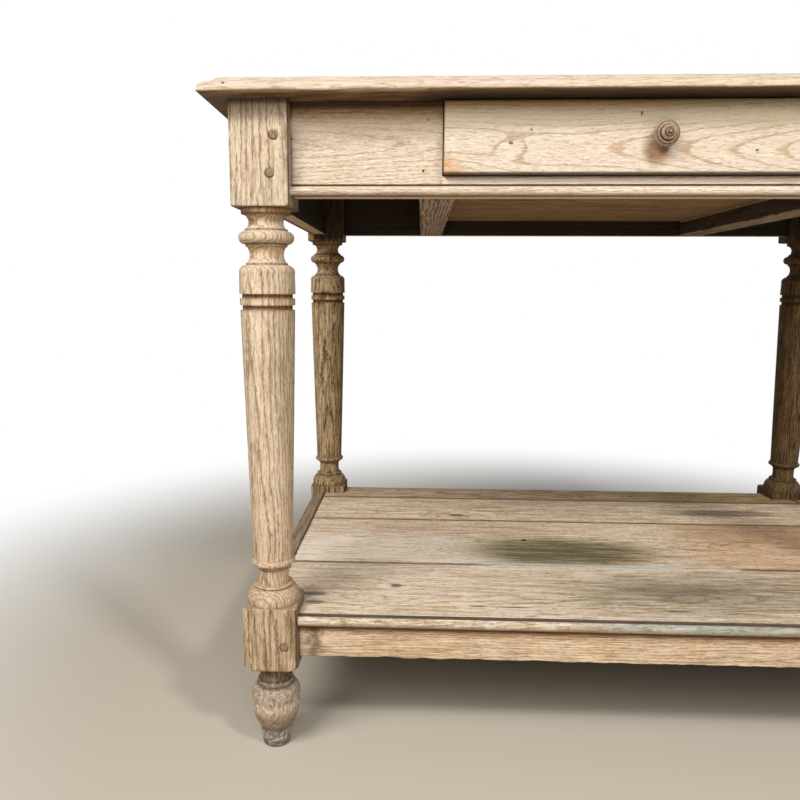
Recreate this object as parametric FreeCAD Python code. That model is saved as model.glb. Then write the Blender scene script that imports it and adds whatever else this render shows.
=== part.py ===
import FreeCAD, Part
import math
import os

os.makedirs("parts", exist_ok=True)

# Oak work table: four turned legs, rails tenoned and pegged into them, a planked top with a
# moulded edge, one drawer in the front and a planked shelf near the floor.
# Millimetres. The origin is on the floor under the middle of the top. X runs along the table,
# Y from the front to the back, and Z up. A set-back is how far a face lies behind the leg's face.

# Overall sizes
table_length = 1085.0
table_depth = 721.0
table_height = 860.0
top_thickness = 22.0
top_overhang = 28.5
leg_block = 70.0
shelf_height = 195.0

# Legs: the square blocks, and how the lathe rounds their corners
upper_block_height = 121.5
lower_block_rise = 13.0
lower_block_height = 87.0
underside_round_height = 21.0
underside_round_width = 7.1
end_round_height = 4.5
end_round_width = 4.0
arris = 1.2
worn_arris = 3.0

# Rails round the top
apron_depth = 109.0
apron_thickness = 22.0
apron_set_back = 18.0
side_apron_set_back = 12.0
moulding_height = 12.0
moulding_projection = 9.5
moulding_lip = 1.4
moulding_quirk_height = 2.6
moulding_quirk_depth = 1.6

# Rails round the shelf
stretcher_depth = 45.0
stretcher_thickness = 22.0
front_stretcher_set_back = 16.0
side_stretcher_set_back = 7.0

# Joints
tenon_thickness = 9.0
tenon_length = 30.0
tenon_shoulder = 12.0
tenon_play = 0.2
mortise_end_room = 2.0
peg_radius = 4.5
peg_length = 41.0
peg_stand_out = 0.8
upper_peg_drop = 40.5
lower_peg_drop = 83.5
upper_peg_inset = 17.0
lower_peg_inset = 22.5
stretcher_peg_inset = 16.0
stretcher_peg_rise = 21.0
peg_clearance = 1.0

# Top
edge_moulding_width = 26.0
top_seam_gap = 0.4
top_tongue_thickness = 7.0
top_tongue_depth = 7.0
glue_block_side = 24.0
glue_block_length = 70.0

# Drawer and what carries it
drawer_rail_depth = 24.0
drawer_opening_width = 509.0
drawer_shift = -8.0
drawer_side_gap = 1.2
drawer_top_gap = 1.0
drawer_bottom_edge_gap = 1.0
drawer_slide_gap = 0.3
drawer_proud = 10.5
drawer_front_thickness = 24.0
drawer_side_thickness = 18.0
drawer_side_drop = 7.0
drawer_back_thickness = 14.0
drawer_back_clearance = 8.0
drawer_panel_thickness = 8.0
drawer_panel_rise = 3.0
drawer_panel_seam = 0.4
drawer_panel_boards = 3
drawer_groove_depth = 5.0
dovetail_length = 15.0
dovetail_flare = 2.2
dovetail_count = 3
dovetail_share = 0.5
runner_width = 44.0
runner_overlap = 16.0
runner_tenon_length = 8.0
runner_tenon_cheek = 5.0
guide_height = 15.0
guide_gap = 0.8
stop_height = 18.0
stop_width = 14.0

# Knob
knob_radius = 14.8
knob_length = 24.0
knob_rise = 1.0
knob_spigot_radius = 4.5
knob_spigot_play = 0.1

# Shelf
shelf_board_thickness = 15.0
shelf_nose_set_back = 6.0
shelf_quirk_width = 3.2
shelf_quirk_depth = 2.6
shelf_gap = 1.0
shelf_seam_gap = 1.6
ledge_side = 20.0
bearer_width = 60.0
bearer_thickness = 20.0
screw_radius = 2.0
screw_head_radius = 4.0
screw_head_height = 3.0
screw_length = 29.0
screw_end_room = 0.5

# One overrun serves every cut that passes right through
overrun = 5.0

# Lathe work on the leg between its blocks, from the top down: radius at the member's top and at
# its bottom as shares of half the block, height as a share of the turned length, and the rise of
# the member's arc as a share of its chord, which is negative where the member is hollowed
turning_shares = (
    (0.875, 0.865, 0.0128, 0.02),
    (0.81, 0.715, 0.0354, -0.28),
    (0.762, 0.762, 0.0053, 0.0),
    (0.765, 0.765, 0.0305, 0.49),
    (0.742, 0.742, 0.0055, 0.0),
    (0.70, 0.70, 0.0393, -0.17),
    (0.743, 0.743, 0.0051, 0.0),
    (0.735, 0.985, 0.0230, 0.24),
    (0.985, 0.997, 0.0470, 0.002),
    (0.90, 0.90, 0.0108, 0.0),
    (0.98, 0.98, 0.0165, 0.02),
    (0.892, 0.892, 0.0118, 0.0),
    (0.974, 0.733, 0.6406, 0.0006),
    (0.74, 0.71, 0.0157, 0.46),
    (0.575, 0.575, 0.0030, 0.0),
    (0.62, 0.62, 0.0041, 0.30),
    (0.578, 0.585, 0.0452, -0.03),
    (0.715, 0.715, 0.0063, 0.30),
    (0.69, 0.982, 0.0421, 0.18),
)

# The same for the foot under the lower block; heights are shares of the foot's height
foot_shares = (
    (0.61, 0.60, 0.205, 0.0),
    (0.645, 0.645, 0.055, 0.30),
    (0.66, 0.915, 0.178, 0.20),
    (0.92, 0.625, 0.331, 0.09),
    (0.60, 0.60, 0.016, 0.0),
    (0.62, 0.53, 0.198, 0.0),
    (0.53, 0.47, 0.017, 0.15),
)

# How far the rounding of a block's corners swells, as a share of its chord
corner_round_share = 0.16

# The knob from its face down to the drawer front: radii are shares of the knob's radius and
# heights are shares of its length
knob_shares = (
    (0.0, 0.13, 0.035, 0.30),
    (0.14, 0.24, 0.045, -0.20),
    (0.24, 0.36, 0.07, 0.30),
    (0.33, 0.62, 0.15, 0.22),
    (0.58, 0.62, 0.03, -0.20),
    (0.64, 1.0, 0.20, 0.20),
    (1.0, 0.90, 0.12, 0.20),
    (0.82, 0.44, 0.10, -0.18),
    (0.44, 0.48, 0.13, -0.25),
    (0.66, 0.74, 0.12, 0.20),
)

# The top's moulded edge from the flat down to its underside: how far in from the tip as a share
# of the moulding's width, height as a share of the top's thickness, and the rise of the arc that
# leads there from the point before, as a share of its chord
edge_shares = (
    (1.0, 1.0, 0.0),
    (0.71, 0.873, 0.06),
    (0.33, 0.60, -0.07),
    (0.25, 0.582, 0.0),
    (0.0, 0.159, 0.10),
    (0.042, 0.0, 0.18),
)

# Widths of the boards from front to back, as shares of the top's and of the shelf's depth
top_board_shares = (0.26, 0.27, 0.23, 0.24)
shelf_board_shares = (0.3107, 0.3454, 0.2240, 0.1199)

# Where the section of the rails' moulding turns from flat to round, as a share of its height
moulding_lip_share = 0.06

# Places worked out from the sizes above
half_block = leg_block / 2
half_length = table_length / 2
half_depth = table_depth / 2
leg_x = half_length - top_overhang - half_block
leg_y = half_depth - top_overhang - half_block
leg_face_x = leg_x + half_block
leg_face_y = leg_y + half_block
inner_x = leg_x - half_block
inner_y = leg_y - half_block
under_top = table_height - top_thickness
upper_block_bottom = under_top - upper_block_height
lower_block_top = shelf_height + lower_block_rise
foot_height = lower_block_top - lower_block_height
apron_bottom = under_top - apron_depth
shelf_underside = shelf_height - shelf_board_thickness
stretcher_bottom = shelf_underside - stretcher_depth

front_apron_face = -leg_face_y + apron_set_back
front_apron_back = front_apron_face + apron_thickness
back_apron_face = leg_face_y - apron_set_back
back_apron_front = back_apron_face - apron_thickness
side_apron_face = leg_face_x - side_apron_set_back
side_apron_inner = side_apron_face - apron_thickness

front_stretcher_face = -leg_face_y + front_stretcher_set_back
front_stretcher_back = front_stretcher_face + stretcher_thickness
side_stretcher_face = leg_face_x - side_stretcher_set_back
side_stretcher_inner = side_stretcher_face - stretcher_thickness
back_stretcher_front = leg_y - stretcher_thickness / 2
back_stretcher_face = leg_y + stretcher_thickness / 2

opening_left = drawer_shift - drawer_opening_width / 2
opening_right = drawer_shift + drawer_opening_width / 2
opening_floor = apron_bottom + drawer_rail_depth

along_x = FreeCAD.Vector(1, 0, 0)
along_y = FreeCAD.Vector(0, 1, 0)
along_z = FreeCAD.Vector(0, 0, 1)
origin = FreeCAD.Vector(0, 0, 0)
full_turn = 360
quarter_turn = 90
nearly_parallel = 0.9
hair = 0.01


def vec(x, y, z):
    return FreeCAD.Vector(x, y, z)


def box(x0, x1, y0, y1, z0, z1):
    """A plain box; each pair of limits may be given in either order."""
    x0, x1 = sorted((x0, x1))
    y0, y1 = sorted((y0, y1))
    z0, z1 = sorted((z0, z1))
    return Part.makeBox(x1 - x0, y1 - y0, z1 - z0, vec(x0, y0, z0))


def board(x0, x1, y0, y1, z0, z1, grain, easing=arris):
    """A planed board whose four edges along the grain are eased to a small radius."""
    plain = box(x0, x1, y0, y1, z0, z1)
    long_edges = [edge for edge in plain.Edges
                  if abs(edge.tangentAt(edge.FirstParameter).dot(grain)) > nearly_parallel]
    return plain.makeFillet(easing, long_edges)


def line(start, end):
    return Part.LineSegment(start, end).toShape()


def swollen(start, end, swell):
    """A line in the XZ plane, or an arc that swells away from Z where the points run down."""
    if swell == 0:
        return line(start, end)
    run = end - start
    outward = vec(-run.z, 0, run.x)
    return Part.Arc(start, (start + end) / 2 + outward * swell, end).toShape()


def lathe(top, members, radius_unit, height_unit):
    """Turn a solid about Z from its members, listed from the top down."""
    edges = []
    height = top
    here = vec(0, 0, top)
    for top_share, bottom_share, height_share, swell in members:
        start = vec(top_share * radius_unit, 0, height)
        height -= height_share * height_unit
        end = vec(bottom_share * radius_unit, 0, height)
        if (start - here).Length > 0:
            edges.append(line(here, start))
        edges.append(swollen(start, end, swell))
        here = end
    edges.append(line(here, vec(0, 0, height)))
    edges.append(line(vec(0, 0, height), vec(0, 0, top)))
    return Part.Face(Part.Wire(edges)).revolve(origin, along_z, full_turn)


def extruded(edges, run):
    return Part.Face(Part.Wire(edges)).extrude(run)


def polygon(points):
    return [line(a, b) for a, b in zip(points, points[1:] + points[:1])]


def joined(solids):
    return solids[0].multiFuse(solids[1:]).removeSplitter()


def group(shapes):
    return Part.makeCompound(shapes)


def mirrored(shape):
    return shape.mirror(origin, along_x)


def save(name, shape):
    solids = shape.Solids
    whole = solids[0] if len(solids) == 1 else group(solids)
    whole.exportStep(os.path.join("parts", name + ".step"))
    print(name, len(solids), "solids, valid:", whole.isValid(), "volume:", round(whole.Volume))


# Pegs through the legs; their holes are cut from the pegs themselves
def peg_from_front(side_x, side_y, inset, height):
    """A peg driven in at a leg's front or back face, inset from the leg's inner side."""
    start = vec(side_x * (inner_x + inset), side_y * (leg_face_y + peg_stand_out), height)
    return Part.makeCylinder(peg_radius, peg_length, start, along_y * -side_y)


def peg_from_side(side_x, side_y, inset, height):
    """A peg driven in at a leg's outer side, inset from the leg's inner side."""
    start = vec(side_x * (leg_face_x + peg_stand_out), side_y * (inner_y + inset), height)
    return Part.makeCylinder(peg_radius, peg_length, start, along_x * -side_x)


# The side pegs stand higher than the front ones, so that they pass each other inside the leg
side_peg_shift = 2 * peg_radius + peg_clearance
apron_pegs = []
stretcher_pegs = []
apron_peg_places = ((upper_peg_inset, under_top - upper_peg_drop),
                    (lower_peg_inset, under_top - lower_peg_drop))
stretcher_peg_height = stretcher_bottom + stretcher_peg_rise
for side_x in (-1, 1):
    for side_y in (-1, 1):
        for inset, height in apron_peg_places:
            apron_pegs.append(peg_from_front(side_x, side_y, inset, height))
            apron_pegs.append(peg_from_side(side_x, side_y, inset, height + side_peg_shift))
        stretcher_pegs.append(peg_from_front(side_x, side_y, stretcher_peg_inset,
                                             stretcher_peg_height))
        stretcher_pegs.append(peg_from_side(side_x, side_y, stretcher_peg_inset,
                                            stretcher_peg_height + side_peg_shift))
peg_holes = group(apron_pegs + stretcher_pegs)

# Tenons on the rails; each leaves the mortise that takes it in this list
mortises = []


def tenons_along_x(middle_y, z0, z1):
    """The tenons at both ends of a front or back rail."""
    y0 = middle_y - tenon_thickness / 2
    y1 = middle_y + tenon_thickness / 2
    pair = []
    for side in (-1, 1):
        root = side * inner_x
        tip = side * (inner_x + tenon_length)
        end = side * (inner_x + tenon_length + mortise_end_room)
        pair.append(box(root, tip, y0, y1, z0, z1))
        mortises.append(box(root, end, y0 - tenon_play, y1 + tenon_play,
                            z0 - tenon_play, z1 + tenon_play))
    return pair


def tenons_along_y(middle_x, z0, z1):
    """The tenons at both ends of a side rail."""
    x0 = middle_x - tenon_thickness / 2
    x1 = middle_x + tenon_thickness / 2
    pair = []
    for side in (-1, 1):
        root = side * inner_y
        tip = side * (inner_y + tenon_length)
        end = side * (inner_y + tenon_length + mortise_end_room)
        pair.append(box(x0, x1, root, tip, z0, z1))
        mortises.append(box(x0 - tenon_play, x1 + tenon_play, root, end,
                            z0 - tenon_play, z1 + tenon_play))
    return pair


def rail_along_x(y0, y1, z0, z1, tenon_z0, tenon_z1):
    body = board(-inner_x, inner_x, y0, y1, z0, z1, along_x)
    return joined([body] + tenons_along_x((y0 + y1) / 2, tenon_z0, tenon_z1))


def rail_along_y(x0, x1, z0, z1, tenon_z0, tenon_z1):
    body = board(x0, x1, -inner_y, inner_y, z0, z1, along_y)
    return joined([body] + tenons_along_y((x0 + x1) / 2, tenon_z0, tenon_z1))


# Rails round the top; the front one is notched for the drawer
apron_tenon = (apron_bottom + tenon_shoulder, under_top - tenon_shoulder)
apron_front = rail_along_x(front_apron_face, front_apron_back, apron_bottom, under_top,
                           *apron_tenon)
apron_front = apron_front.cut(box(opening_left, opening_right, front_apron_face - overrun,
                                  front_apron_back + overrun, opening_floor,
                                  under_top + overrun))
apron_back = rail_along_x(back_apron_front, back_apron_face, apron_bottom, under_top,
                          *apron_tenon)
apron_left = rail_along_y(-side_apron_face, -side_apron_inner, apron_bottom, under_top,
                          *apron_tenon)
apron_right = rail_along_y(side_apron_inner, side_apron_face, apron_bottom, under_top,
                           *apron_tenon)


# A narrow quirk is cut in each rail's face above the moulding
quirk_floor = apron_bottom + moulding_height
apron_front = apron_front.cut(box(-inner_x, inner_x, front_apron_face - overrun,
                                  front_apron_face + moulding_quirk_depth,
                                  quirk_floor, quirk_floor + moulding_quirk_height))
side_quirk = box(side_apron_face + overrun, side_apron_face - moulding_quirk_depth,
                 -inner_y, inner_y, quirk_floor, quirk_floor + moulding_quirk_height)
apron_right = apron_right.cut(side_quirk)
apron_left = apron_left.cut(mirrored(side_quirk))


# Moulding planted along the lower edge of the front and side rails
def moulding(outward, run, corner):
    """A half-round strip with a small lip along its top, from one leg to the next."""
    flat = moulding_projection - moulding_height / 2
    lip_drop = moulding_height * moulding_lip_share

    def point(projection, height):
        return corner + outward * projection + along_z * height

    heel = point(0, moulding_height)
    lip = point(flat - moulding_lip, moulding_height)
    round_top = point(flat, moulding_height - lip_drop)
    tip = point(moulding_projection, moulding_height / 2)
    round_bottom = point(flat, 0)
    edges = [line(corner, heel), line(heel, lip), line(lip, round_top),
             Part.Arc(round_top, tip, round_bottom).toShape(), line(round_bottom, corner)]
    return extruded(edges, run)


moulding_front = moulding(-along_y, along_x * 2 * inner_x,
                          vec(-inner_x, front_apron_face, apron_bottom))
moulding_right = moulding(along_x, along_y * 2 * inner_y,
                          vec(side_apron_face, -inner_y, apron_bottom))
moulding_left = mirrored(moulding_right)

# Where the shelf's boards begin and end, from the front to the back
shelf_front = -leg_face_y + shelf_nose_set_back
shelf_seams = [shelf_front]
for share in shelf_board_shares:
    shelf_seams.append(shelf_seams[-1] + share * (back_stretcher_face - shelf_front))

# Rails round the shelf: the front and back ones lie under the boards, the side ones are flush
# with them, and rebated in front where the first board runs over them
stretcher_tenon = (stretcher_bottom + tenon_shoulder, shelf_underside - tenon_shoulder / 2)
stretcher_front = rail_along_x(front_stretcher_face, front_stretcher_back, stretcher_bottom,
                               shelf_underside, *stretcher_tenon)
stretcher_back = rail_along_x(back_stretcher_front, back_stretcher_face, stretcher_bottom,
                              shelf_underside, *stretcher_tenon)
stretcher_right = rail_along_y(side_stretcher_inner, side_stretcher_face, stretcher_bottom,
                               shelf_height, *stretcher_tenon)
stretcher_left = rail_along_y(-side_stretcher_face, -side_stretcher_inner, stretcher_bottom,
                              shelf_height, *stretcher_tenon)
rebate = box(-leg_face_x, leg_face_x, -inner_y - overrun, shelf_seams[1] + shelf_gap,
             shelf_underside, shelf_height + overrun)
stretcher_right = stretcher_right.cut(rebate)
stretcher_left = stretcher_left.cut(rebate)

# Bearer under the middle of the shelf, housed in the front and back rails
bearer_start = front_stretcher_face + stretcher_thickness / 2
bearer_end = back_stretcher_face - stretcher_thickness / 2
bearer_bottom = shelf_underside - bearer_thickness
shelf_bearer = board(-bearer_width / 2, bearer_width / 2, bearer_start, bearer_end,
                     bearer_bottom, shelf_underside, along_y)
housing = box(-bearer_width / 2 - tenon_play, bearer_width / 2 + tenon_play,
              bearer_start - tenon_play, bearer_end + tenon_play,
              bearer_bottom, shelf_underside + overrun)
stretcher_front = stretcher_front.cut(housing)
stretcher_back = stretcher_back.cut(housing)

# Ledges along the inside of the side rails carry the ends of the boards
ledge_right = board(side_stretcher_inner - ledge_side, side_stretcher_inner, -inner_y, inner_y,
                    shelf_underside - ledge_side, shelf_underside, along_y)
ledge_left = mirrored(ledge_right)

# Shelf boards: the first has a rounded nose with a quirk behind it
leg_notch_x = inner_x - shelf_gap
leg_notch_y = inner_y - shelf_gap
inner_board_end = side_stretcher_inner - shelf_gap


def first_shelf_board():
    nose_radius = shelf_board_thickness / 2
    nose_y = shelf_front + nose_radius
    back_y = shelf_seams[1] - shelf_seam_gap / 2
    low_nose = vec(-side_stretcher_face, nose_y, shelf_underside)
    tip = vec(-side_stretcher_face, shelf_front, shelf_underside + nose_radius)
    high_nose = vec(-side_stretcher_face, nose_y, shelf_height)
    quirk = vec(-side_stretcher_face, nose_y + shelf_quirk_width / 2,
                shelf_height - shelf_quirk_depth)
    flat = vec(-side_stretcher_face, nose_y + shelf_quirk_width, shelf_height)
    back_high = vec(-side_stretcher_face, back_y, shelf_height)
    back_low = vec(-side_stretcher_face, back_y, shelf_underside)
    edges = [Part.Arc(low_nose, tip, high_nose).toShape(), line(high_nose, quirk),
             line(quirk, flat), line(flat, back_high), line(back_high, back_low),
             line(back_low, low_nose)]
    piece = extruded(edges, along_x * 2 * side_stretcher_face)
    for side in (-1, 1):
        piece = piece.cut(box(side * leg_notch_x, side * leg_face_x, shelf_front - overrun,
                              -leg_notch_y, shelf_underside - overrun, shelf_height + overrun))
    return piece


def inner_shelf_board(index):
    """A board between the side rails, notched where it meets the back legs."""
    last = index == len(shelf_board_shares) - 1
    y0 = shelf_seams[index] + shelf_seam_gap / 2
    y1 = back_stretcher_face if last else shelf_seams[index + 1] - shelf_seam_gap / 2
    piece = board(-inner_board_end, inner_board_end, y0, y1, shelf_underside, shelf_height,
                  along_x)
    for side in (-1, 1):
        piece = piece.cut(box(side * leg_notch_x, side * leg_face_x, leg_notch_y, leg_face_y,
                              shelf_underside - overrun, shelf_height + overrun))
    return piece


# Screws come up through the ledges and the bearer, two to a board and one to the narrow strip
def screw_rows():
    rows = []
    for index in range(len(shelf_board_shares)):
        near = max(shelf_seams[index], -inner_y)
        far = min(shelf_seams[index + 1], inner_y)
        quarter = (far - near) / 4
        last = index == len(shelf_board_shares) - 1
        rows += [near + quarter * 2] if last else [near + quarter, far - quarter]
    return rows


def screw(x, y, bottom, spare):
    """A countersunk screw or, with some room past its point, the hole for it."""
    head = Part.makeCone(screw_head_radius, screw_radius, screw_head_height, vec(x, y, bottom))
    shank = Part.makeCylinder(screw_radius, screw_length + spare, vec(x, y, bottom))
    return joined([head, shank])


ledge_middle = side_stretcher_inner - ledge_side / 2
ledge_bottom = shelf_underside - ledge_side
screw_places = []
for y in screw_rows():
    screw_places += [(-ledge_middle, y, ledge_bottom), (ledge_middle, y, ledge_bottom),
                     (0, y, bearer_bottom)]
shelf_screws = [screw(*place, 0) for place in screw_places]
screw_holes = group([screw(*place, screw_end_room) for place in screw_places])

# Legs: square blocks for the joints, turned between them, with a turned foot
half_diagonal = half_block * math.sqrt(2)


def block(z0, z1, low_height, low_width, high_height, high_width, easing):
    """A square block whose corners the lathe has rounded over at both ends."""
    reach = half_diagonal + overrun
    low_radius = half_diagonal - low_width
    high_radius = half_diagonal - high_width
    top_edge = vec(high_radius, 0, z1)
    top_corner = vec(half_diagonal, 0, z1 - high_height)
    bottom_corner = vec(half_diagonal, 0, z0 + low_height)
    bottom_edge = vec(low_radius, 0, z0)
    edges = [
        line(vec(0, 0, z1), top_edge),
        swollen(top_edge, top_corner, corner_round_share),
        line(top_corner, vec(reach, 0, z1 - high_height)),
        line(vec(reach, 0, z1 - high_height), vec(reach, 0, z0 + low_height)),
        line(vec(reach, 0, z0 + low_height), bottom_corner),
        swollen(bottom_corner, bottom_edge, corner_round_share),
        line(bottom_edge, vec(0, 0, z0)),
        line(vec(0, 0, z0), vec(0, 0, z1)),
    ]
    envelope = Part.Face(Part.Wire(edges)).revolve(origin, along_z, full_turn)
    square = board(-half_block, half_block, -half_block, half_block, z0, z1, along_z, easing)
    return square.common(envelope)


def upper_block():
    """The upper block keeps its square corners under the top."""
    spare = end_round_height + overrun
    tall = block(upper_block_bottom, under_top + spare, end_round_height, end_round_width,
                 end_round_height, end_round_width, arris)
    return tall.cut(box(-leg_block, leg_block, -leg_block, leg_block, under_top,
                        under_top + spare + overrun))


def leg_blank():
    """One leg about its own axis, before its mortises and peg holes are cut."""
    lower = block(foot_height, lower_block_top, underside_round_height, underside_round_width,
                  end_round_height, end_round_width, worn_arris)
    shaft = lathe(upper_block_bottom, turning_shares, half_block,
                  upper_block_bottom - lower_block_top)
    foot = lathe(foot_height, foot_shares, half_block, foot_height)
    return joined([upper_block(), shaft, lower, foot])


blank = leg_blank()
leg_cuts = mortises + apron_pegs + stretcher_pegs


def leg(side_x, side_y):
    placed = blank.copy()
    placed.translate(vec(side_x * leg_x, side_y * leg_y, 0))
    nearby = [cut for cut in leg_cuts if cut.BoundBox.intersect(placed.BoundBox)]
    return placed.cut(group(nearby))


# The top: one moulded blank, sawn into boards that are tongued and grooved together
def top_section(half_span):
    """Section across the top in the XZ plane, moulded at both ends."""
    right = []
    here = None
    for inset_share, height_share, swell in edge_shares:
        point = vec(half_span - inset_share * edge_moulding_width, 0,
                    under_top + height_share * top_thickness)
        if here:
            right.append(swollen(here, point, swell))
        here = point
    left = [mirrored(edge) for edge in right]
    crown = vec(half_span - edge_moulding_width, 0, table_height)
    across_top = line(vec(-crown.x, 0, crown.z), crown)
    across_bottom = line(here, vec(-here.x, 0, here.z))
    return Part.Face(Part.Wire([across_top] + right + [across_bottom] + left[::-1]))


def moulded_top():
    short_bar = top_section(half_length).extrude(along_y * table_depth)
    short_bar.translate(along_y * -half_depth)
    long_bar = top_section(half_depth).extrude(along_y * table_length)
    long_bar.translate(along_y * -half_length)
    long_bar.rotate(origin, along_z, quarter_turn)
    return long_bar.common(short_bar)


top_blank = moulded_top()


def tongue(seam_y, play):
    """The tongue that crosses a seam or, with some play, the groove that takes it."""
    middle = under_top + top_thickness / 2
    half = top_tongue_thickness / 2 + play
    return box(-half_length, half_length, seam_y - top_seam_gap,
               seam_y + top_tongue_depth + play, middle - half, middle + half)


def top_board(index):
    first = index == 0
    last = index == len(top_board_shares) - 1
    front_seam = -half_depth + sum(top_board_shares[:index]) * table_depth
    back_seam = front_seam + top_board_shares[index] * table_depth
    y0 = -half_depth - overrun if first else front_seam + top_seam_gap / 2
    y1 = half_depth + overrun if last else back_seam - top_seam_gap / 2
    piece = top_blank.common(box(-half_length - overrun, half_length + overrun, y0, y1,
                                 under_top - overrun, table_height + overrun))
    if not last:
        piece = joined([piece, top_blank.common(tongue(back_seam, 0))])
    if not first:
        piece = piece.cut(tongue(front_seam, tenon_play))
    return piece


# Blocks glued into the angle between the rails and the top, clear of the drawer
def glue_blocks():
    z0 = under_top - glue_block_side
    half = glue_block_length / 2
    blocks = []
    for side in (-1, 1):
        x = side * (inner_x - opening_left) / 2
        blocks.append(board(x - half, x + half, front_apron_back,
                            front_apron_back + glue_block_side, z0, under_top, along_x))
        blocks.append(board(x - half, x + half, back_apron_front - glue_block_side,
                            back_apron_front, z0, under_top, along_x))
        x0, x1 = sorted((side * side_apron_inner, side * (side_apron_inner - glue_block_side)))
        for y in (-inner_y / 2, inner_y / 2):
            blocks.append(board(x0, x1, y - half, y + half, z0, under_top, along_y))
    return blocks


# Runners under the drawer, stub-tenoned into the front and back rails
drawer_floor = opening_floor + drawer_bottom_edge_gap
runner_top = drawer_floor - drawer_slide_gap
drawer_half_width = drawer_opening_width / 2 - drawer_side_gap
runner_inner = drawer_half_width - runner_overlap
runner_outer = runner_inner + runner_width


def runner_stub(side, play):
    """The runner's two stub tenons in one bar or, with some play, the sockets for them."""
    cheek = runner_tenon_cheek - play
    reach = runner_tenon_length + play
    return box(drawer_shift + side * (runner_inner + cheek),
               drawer_shift + side * (runner_outer - cheek),
               front_apron_back - reach, back_apron_front + reach,
               apron_bottom + cheek, runner_top - cheek)


def runner(side):
    body = board(drawer_shift + side * runner_inner, drawer_shift + side * runner_outer,
                 front_apron_back, back_apron_front, apron_bottom, runner_top, along_y)
    return joined([body, runner_stub(side, 0)])


runner_sockets = group([runner_stub(side, tenon_play) for side in (-1, 1)])
apron_front = apron_front.cut(runner_sockets)
apron_back = apron_back.cut(runner_sockets)


def runner_guide(side):
    """A strip on the runner that keeps the drawer straight."""
    return board(drawer_shift + side * (drawer_half_width + guide_gap),
                 drawer_shift + side * runner_outer, front_apron_back, back_apron_front,
                 runner_top, runner_top + guide_height, along_y)


drawer_face = front_apron_face - drawer_proud
drawer_rear = back_apron_front - drawer_back_clearance


def drawer_stop(side):
    """A block on the runner against the back rail, where the closed drawer comes to rest."""
    outer = drawer_shift + side * drawer_half_width
    return box(outer, outer - side * stop_width, drawer_rear + drawer_slide_gap,
               back_apron_front, runner_top, runner_top + stop_height)


# Drawer: a thick front, sides dovetailed to it and to the back, and a bottom of three boards
drawer_left = drawer_shift - drawer_half_width
drawer_right = drawer_shift + drawer_half_width
drawer_front_top = under_top - drawer_top_gap
drawer_side_top = drawer_front_top - drawer_side_drop
drawer_front_back = drawer_face + drawer_front_thickness
drawer_back_front = drawer_rear - drawer_back_thickness
panel_bottom = drawer_floor + drawer_panel_rise
panel_top = panel_bottom + drawer_panel_thickness


def tails(y_root, y_tip, x0, x1, z0, z1):
    """Dovetails on a drawer side, spread over its height and widest at their tips."""
    pitch = (z1 - z0) / dovetail_count
    root_half = pitch * dovetail_share / 2
    tip_half = root_half + dovetail_flare
    shapes = []
    for index in range(dovetail_count):
        middle = z0 + pitch * index + pitch / 2
        shapes.append(extruded(polygon([
            vec(x0, y_root, middle - root_half),
            vec(x0, y_root, middle + root_half),
            vec(x0, y_tip, middle + tip_half),
            vec(x0, y_tip, middle - tip_half),
        ]), along_x * (x1 - x0)))
    return shapes


panel_blank = box(drawer_left + drawer_side_thickness - drawer_groove_depth,
                  drawer_right - drawer_side_thickness + drawer_groove_depth,
                  drawer_front_back - drawer_groove_depth, drawer_rear,
                  panel_bottom, panel_top)


def drawer_tails(side):
    """One side's tails at the front and at the back; the front and back are cut with them."""
    outer = drawer_shift + side * drawer_half_width
    inner = outer - side * drawer_side_thickness
    front = tails(drawer_front_back, drawer_front_back - dovetail_length, outer, inner,
                  drawer_floor, drawer_side_top)
    back = tails(drawer_back_front, drawer_rear, outer, inner, panel_top, drawer_side_top)
    return front, back


def drawer_side(side, front, back):
    outer = drawer_shift + side * drawer_half_width
    inner = outer - side * drawer_side_thickness
    body = board(outer, inner, drawer_front_back, drawer_back_front,
                 drawer_floor, drawer_side_top, along_y)
    foot = box(outer, inner, drawer_back_front, drawer_rear, drawer_floor, panel_top)
    return joined([body, foot] + front + back).cut(panel_blank)


left_front_tails, left_back_tails = drawer_tails(-1)
right_front_tails, right_back_tails = drawer_tails(1)
knob_height = (drawer_floor + drawer_front_top) / 2 + knob_rise


def drawer_front():
    plain = box(drawer_left, drawer_right, drawer_face, drawer_front_back,
                drawer_floor, drawer_front_top)
    rim = [edge for edge in plain.Edges if edge.BoundBox.YMax < drawer_face + hair]
    bore = Part.makeCylinder(knob_spigot_radius + knob_spigot_play,
                             drawer_front_thickness + 2 * overrun,
                             vec(drawer_shift, drawer_face - overrun, knob_height), along_y)
    cuts = left_front_tails + right_front_tails + [panel_blank, bore]
    return plain.makeFillet(arris, rim).cut(group(cuts))


def drawer_back():
    body = board(drawer_left, drawer_right, drawer_back_front, drawer_rear,
                 panel_top, drawer_side_top, along_x)
    return body.cut(group(left_back_tails + right_back_tails))


def drawer_panel_board(index):
    """One board of the bottom, let into the grooves and passing under the back."""
    front = drawer_front_back - drawer_groove_depth
    width = (drawer_rear - front) / drawer_panel_boards
    y0 = front if index == 0 else front + width * index + drawer_panel_seam / 2
    last = index == drawer_panel_boards - 1
    y1 = drawer_rear if last else front + width * (index + 1) - drawer_panel_seam / 2
    return panel_blank.common(box(drawer_left, drawer_right, y0, y1,
                                  panel_bottom - overrun, panel_top + overrun))


def drawer_knob():
    """Turned knob with a spigot right through the drawer front."""
    head = lathe(knob_length, knob_shares, knob_radius, knob_length)
    spigot = Part.makeCylinder(knob_spigot_radius, drawer_front_thickness, origin, -along_z)
    knob = joined([head, spigot])
    knob.rotate(origin, along_x, quarter_turn)
    knob.translate(vec(drawer_shift, drawer_face, knob_height))
    return knob


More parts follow.
